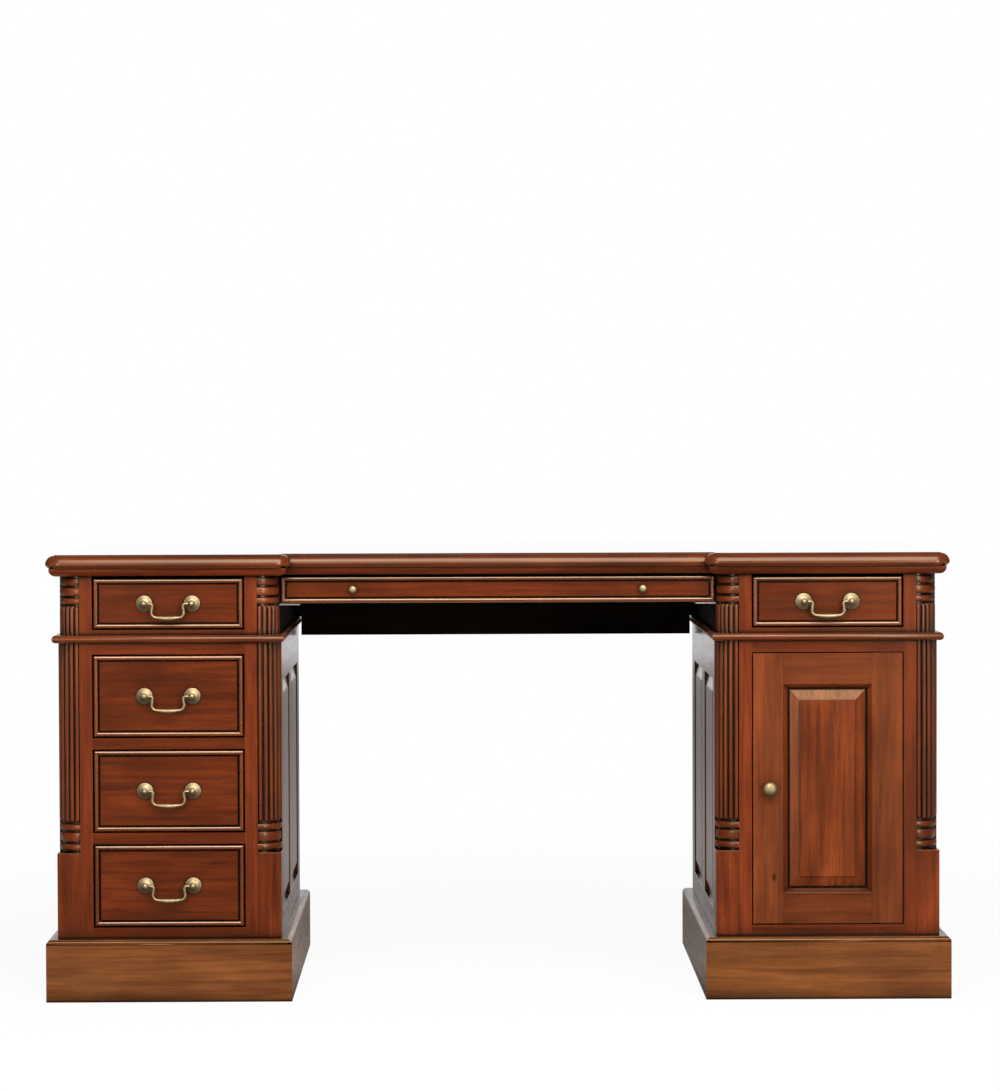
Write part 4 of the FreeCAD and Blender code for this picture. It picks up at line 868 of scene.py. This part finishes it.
def build_bail(name, pivot):
    """A bail whose grip swells downward and whose ends are thin pins."""
    half, corner_x = bail_path()
    path = half + [(-x, z) for x, z in reversed(half[:-1])]
    points = []
    radii = []
    for x, z in path:
        radius = BAIL_ROD
        if abs(x) > BAIL_SHOULDER + BAIL_STRAIGHT:
            radius = BAIL_TIP
        elif z < -BAIL_DROP + CLOSE and abs(x) <= corner_x:
            share = math.cos(math.pi / 2 * min(abs(x) / corner_x, 1))
            radius = BAIL_ROD + (BAIL_GRIP - BAIL_ROD) * share
        sag = max(radius - BAIL_ROD, 0)
        points.append(pivot + Vector((x, 0, z - sag)) * MM)
        radii.append(radius)
    return tube(name, points, radii, BAIL_ROD_SIDES)


def nut(name, centre):
    """A six-sided nut behind a drawer's front or the door."""
    rings = []
    for offset in (0, NUT_DEPTH):
        place = Vector(centre) + Vector((0, offset * MM, 0))
        rings.append(circle(place, NUT_RADIUS, NUT_SIDES))
    piece = ring_stack(name, rings)
    shade_flat(piece)
    return piece


def finish_brass(piece, body, label):
    piece.data.materials.append(BRASS)
    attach(piece, body)
    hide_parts(label)


def stem_profile(profile):
    """The same turning with its stem behind the seat, as one closed piece."""
    return ((0, -STEM_LENGTH), (STEM_RADIUS, -STEM_LENGTH), (STEM_RADIUS, 0), *profile)


def build_pulls():
    for joint in frame["joints"]:
        if not joint["name"].endswith("_bail_swing"):
            continue
        drawer, loop = joint["parent"], joint["child"]
        pivot = Vector(joint["pos_m"])
        finish_brass(build_bail(f"{loop}_round", pivot), loop, loop)
        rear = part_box(f"{drawer}_front")[1].y
        pieces = []
        for side in SIDES:
            seat = pivot + Vector((side * PULL_SPACING / 2, PIVOT_OFFSET, 0)) * MM
            pieces.append(turned(f"{drawer}_post_{side}", seat, stem_profile(ROSETTE_PROFILE)))
            pieces.append(nut(f"{drawer}_nut_{side}", (seat.x, rear, seat.z)))
        finish_brass(joined(f"{drawer}_posts_turned", pieces), drawer, f"{drawer}_posts")


def build_knob(name, centre, radius, length, rear):
    """A turned knob and its nut, with the radius and the length in millimetres."""
    profile = stem_profile([(r * radius, y * length) for r, y in KNOB_PROFILE])
    return [turned(name, centre, profile), nut(f"{name}_nut", (centre.x, rear, centre.z))]


def build_knobs():
    low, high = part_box("centre_drawer_knobs")
    radius = (high.z - low.z) / 2
    length = SMALL_KNOB_LENGTH * MM
    level = (low.z + high.z) / 2
    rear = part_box("centre_drawer_front")[1].y
    pieces = []
    for x in (low.x + radius, high.x - radius):
        seat = Vector((x, low.y + length, level))
        spread = radius * SMALL_KNOB_SPREAD
        pieces += build_knob(f"small_knob_{len(pieces)}", seat, spread / MM, length / MM, rear)
    finish_brass(joined("centre_drawer_knobs_turned", pieces), "centre_drawer", "centre_drawer_knobs")
    low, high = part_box("door_knob")
    radius = (high.z - low.z) / 2
    seat = Vector(((low.x + high.x) / 2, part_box("door_frame")[0].y, (low.z + high.z) / 2))
    length = seat.y - low.y
    pieces = build_knob("door_knob_head", seat, radius / MM, length / MM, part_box("door_frame")[1].y)
    finish_brass(joined("door_knob_turned", pieces), "door", "door_knob")


build_columns()
build_pulls()
build_knobs()

# Floor, backdrop, lights and camera, in metres and watts
WHITE = (1, 1, 1, 1)
AMBIENT = 0.35
ROOM = 0.03
WALL_STOPS = ((0.93, (ROOM,) * 3), (0.985, (1, 1, 1)))
FLOOR_REACH = 9
FLOOR_COLOUR = (0.8, 0.8, 0.8, 1)
FLOOR_ROUGHNESS = 0.9
FLOOR_NEAR = 1.1
FLOOR_FAR = 2.6
FLOOR_SHARE = 0.93
FLOOR_MIRRORED = ((0.3, (0.03,) * 3), (0.6, (0.6,) * 3))
LAMP_COLOUR = (1, 0.95, 0.88)

# Name, place, target, size and power of each lamp
LAMPS = (
    ("overhead", (0.3, -2.6, 2.9), (0, -0.2, 0.5), (3.4, 2.4), 190),
    ("key", (2.7, -5.2, 1.5), (0, 0, 0.4), (0.7, 2.4), 115),
    ("fill", (-2.7, -5.2, 1.4), (0, 0, 0.4), (0.7, 2.4), 65),
)


def by_ray(tree, seen, mirrored, other):
    """One shading for the camera, one for reflections and one for every other ray."""
    path = tree.nodes.new("ShaderNodeLightPath")
    shading = other
    for ray, special in (("Is Glossy Ray", mirrored), ("Is Camera Ray", seen)):
        blend = tree.nodes.new("ShaderNodeMixShader")
        link(tree, path.outputs[ray], blend.inputs["Fac"])
        link(tree, shading, blend.inputs[1])
        link(tree, special, blend.inputs[2])
        shading = blend.outputs[0]
    return shading


def depth_share(tree, coordinates):
    """Where a point lies from front to back: 0 at Y = -1 and 1 at Y = 1."""
    parts = tree.nodes.new("ShaderNodeSeparateXYZ")
    link(tree, coordinates, parts.inputs[0])
    depth = node(tree, "ShaderNodeMapRange", **{"From Min": -1.0, "From Max": 1.0})
    link(tree, parts.outputs["Y"], depth.inputs["Value"])
    return depth.outputs["Result"]


def build_floor():
    """A pale floor that keeps a faint shadow near the desk and runs out into white."""
    near, far = -FLOOR_REACH, FLOOR_REACH
    corners = [(near, near, 0), (far, near, 0), (far, far, 0), (near, far, 0)]
    floor = new_mesh("studio_floor", corners, [(0, 1, 2, 3)])
    material, tree, surface = blank_material("studio_floor_paint")
    surface.inputs["Base Color"].default_value = FLOOR_COLOUR
    surface.inputs["Roughness"].default_value = FLOOR_ROUGHNESS
    place = tree.nodes.new("ShaderNodeTexCoord").outputs["Object"]
    reach = tree.nodes.new("ShaderNodeVectorMath")
    reach.operation = "LENGTH"
    link(tree, place, reach.inputs[0])
    spread = node(tree, "ShaderNodeMapRange", **{"From Min": FLOOR_NEAR, "From Max": FLOOR_FAR})
    link(tree, reach.outputs["Value"], spread.inputs["Value"])
    share = ramp(tree, spread.outputs["Result"], ((0, (FLOOR_SHARE,) * 3), (1, (1, 1, 1))))
    glow = node(tree, "ShaderNodeEmission", Strength=1.0)
    pale = tree.nodes.new("ShaderNodeMixShader")
    link(tree, share, pale.inputs["Fac"])
    link(tree, surface.outputs[0], pale.inputs[1])
    link(tree, glow.outputs[0], pale.inputs[2])
    dim = tree.nodes.new("ShaderNodeBsdfDiffuse")
    link(tree, ramp(tree, depth_share(tree, place), FLOOR_MIRRORED), dim.inputs["Color"])
    out = by_ray(tree, pale.outputs[0], dim.outputs[0], surface.outputs[0])
    link(tree, out, tree.nodes["Material Output"].inputs["Surface"])
    floor.data.materials.append(material)


def build_world():
    """A white wall behind the desk and a dim room in front of it, with soft light all round."""
    world = bpy.data.worlds.new("studio")
    bpy.context.scene.world = world
    world.use_nodes = True
    tree = world.node_tree
    soft = tree.nodes["Background"]
    soft.inputs["Color"].default_value = WHITE
    soft.inputs["Strength"].default_value = AMBIENT
    place = tree.nodes.new("ShaderNodeTexCoord").outputs["Generated"]
    room = tree.nodes.new("ShaderNodeBackground")
    link(tree, ramp(tree, depth_share(tree, place), WALL_STOPS), room.inputs["Color"])
    white = node(tree, "ShaderNodeBackground", Color=WHITE, Strength=1.0)
    out = by_ray(tree, white.outputs[0], room.outputs[0], soft.outputs[0])
    link(tree, out, tree.nodes["World Output"].inputs["Surface"])


def build_lamp(name, place, target, size, power):
    light = bpy.data.lights.new(name, "AREA")
    light.energy = power
    light.color = LAMP_COLOUR
    light.shape = "RECTANGLE"
    light.size, light.size_y = size
    holder = placed(name, light)
    holder.location = place
    holder.rotation_euler = (Vector(target) - Vector(place)).to_track_quat("-Z", "Y").to_euler()


def build_camera():
    data = bpy.data.cameras.new("photo_camera")
    data.lens = FOCAL_PX * SENSOR_MM / FRAME_HEIGHT_PX
    data.sensor_width = SENSOR_MM
    camera = placed("photo_camera", data)
    turn = Matrix.Rotation(math.radians(-CAMERA_YAW), 3, "Z")
    tilt = Matrix.Rotation(math.radians(90 - CAMERA_PITCH), 3, "X")
    roll = Matrix.Rotation(math.radians(CAMERA_ROLL), 3, "Z")
    camera.matrix_world = Matrix.Translation(CAMERA_PLACE) @ (turn @ tilt @ roll).to_4x4()
    bpy.context.scene.camera = camera


build_floor()
build_world()
for settings in LAMPS:
    build_lamp(*settings)
build_camera()
bpy.context.scene.view_settings.view_transform = "Standard"
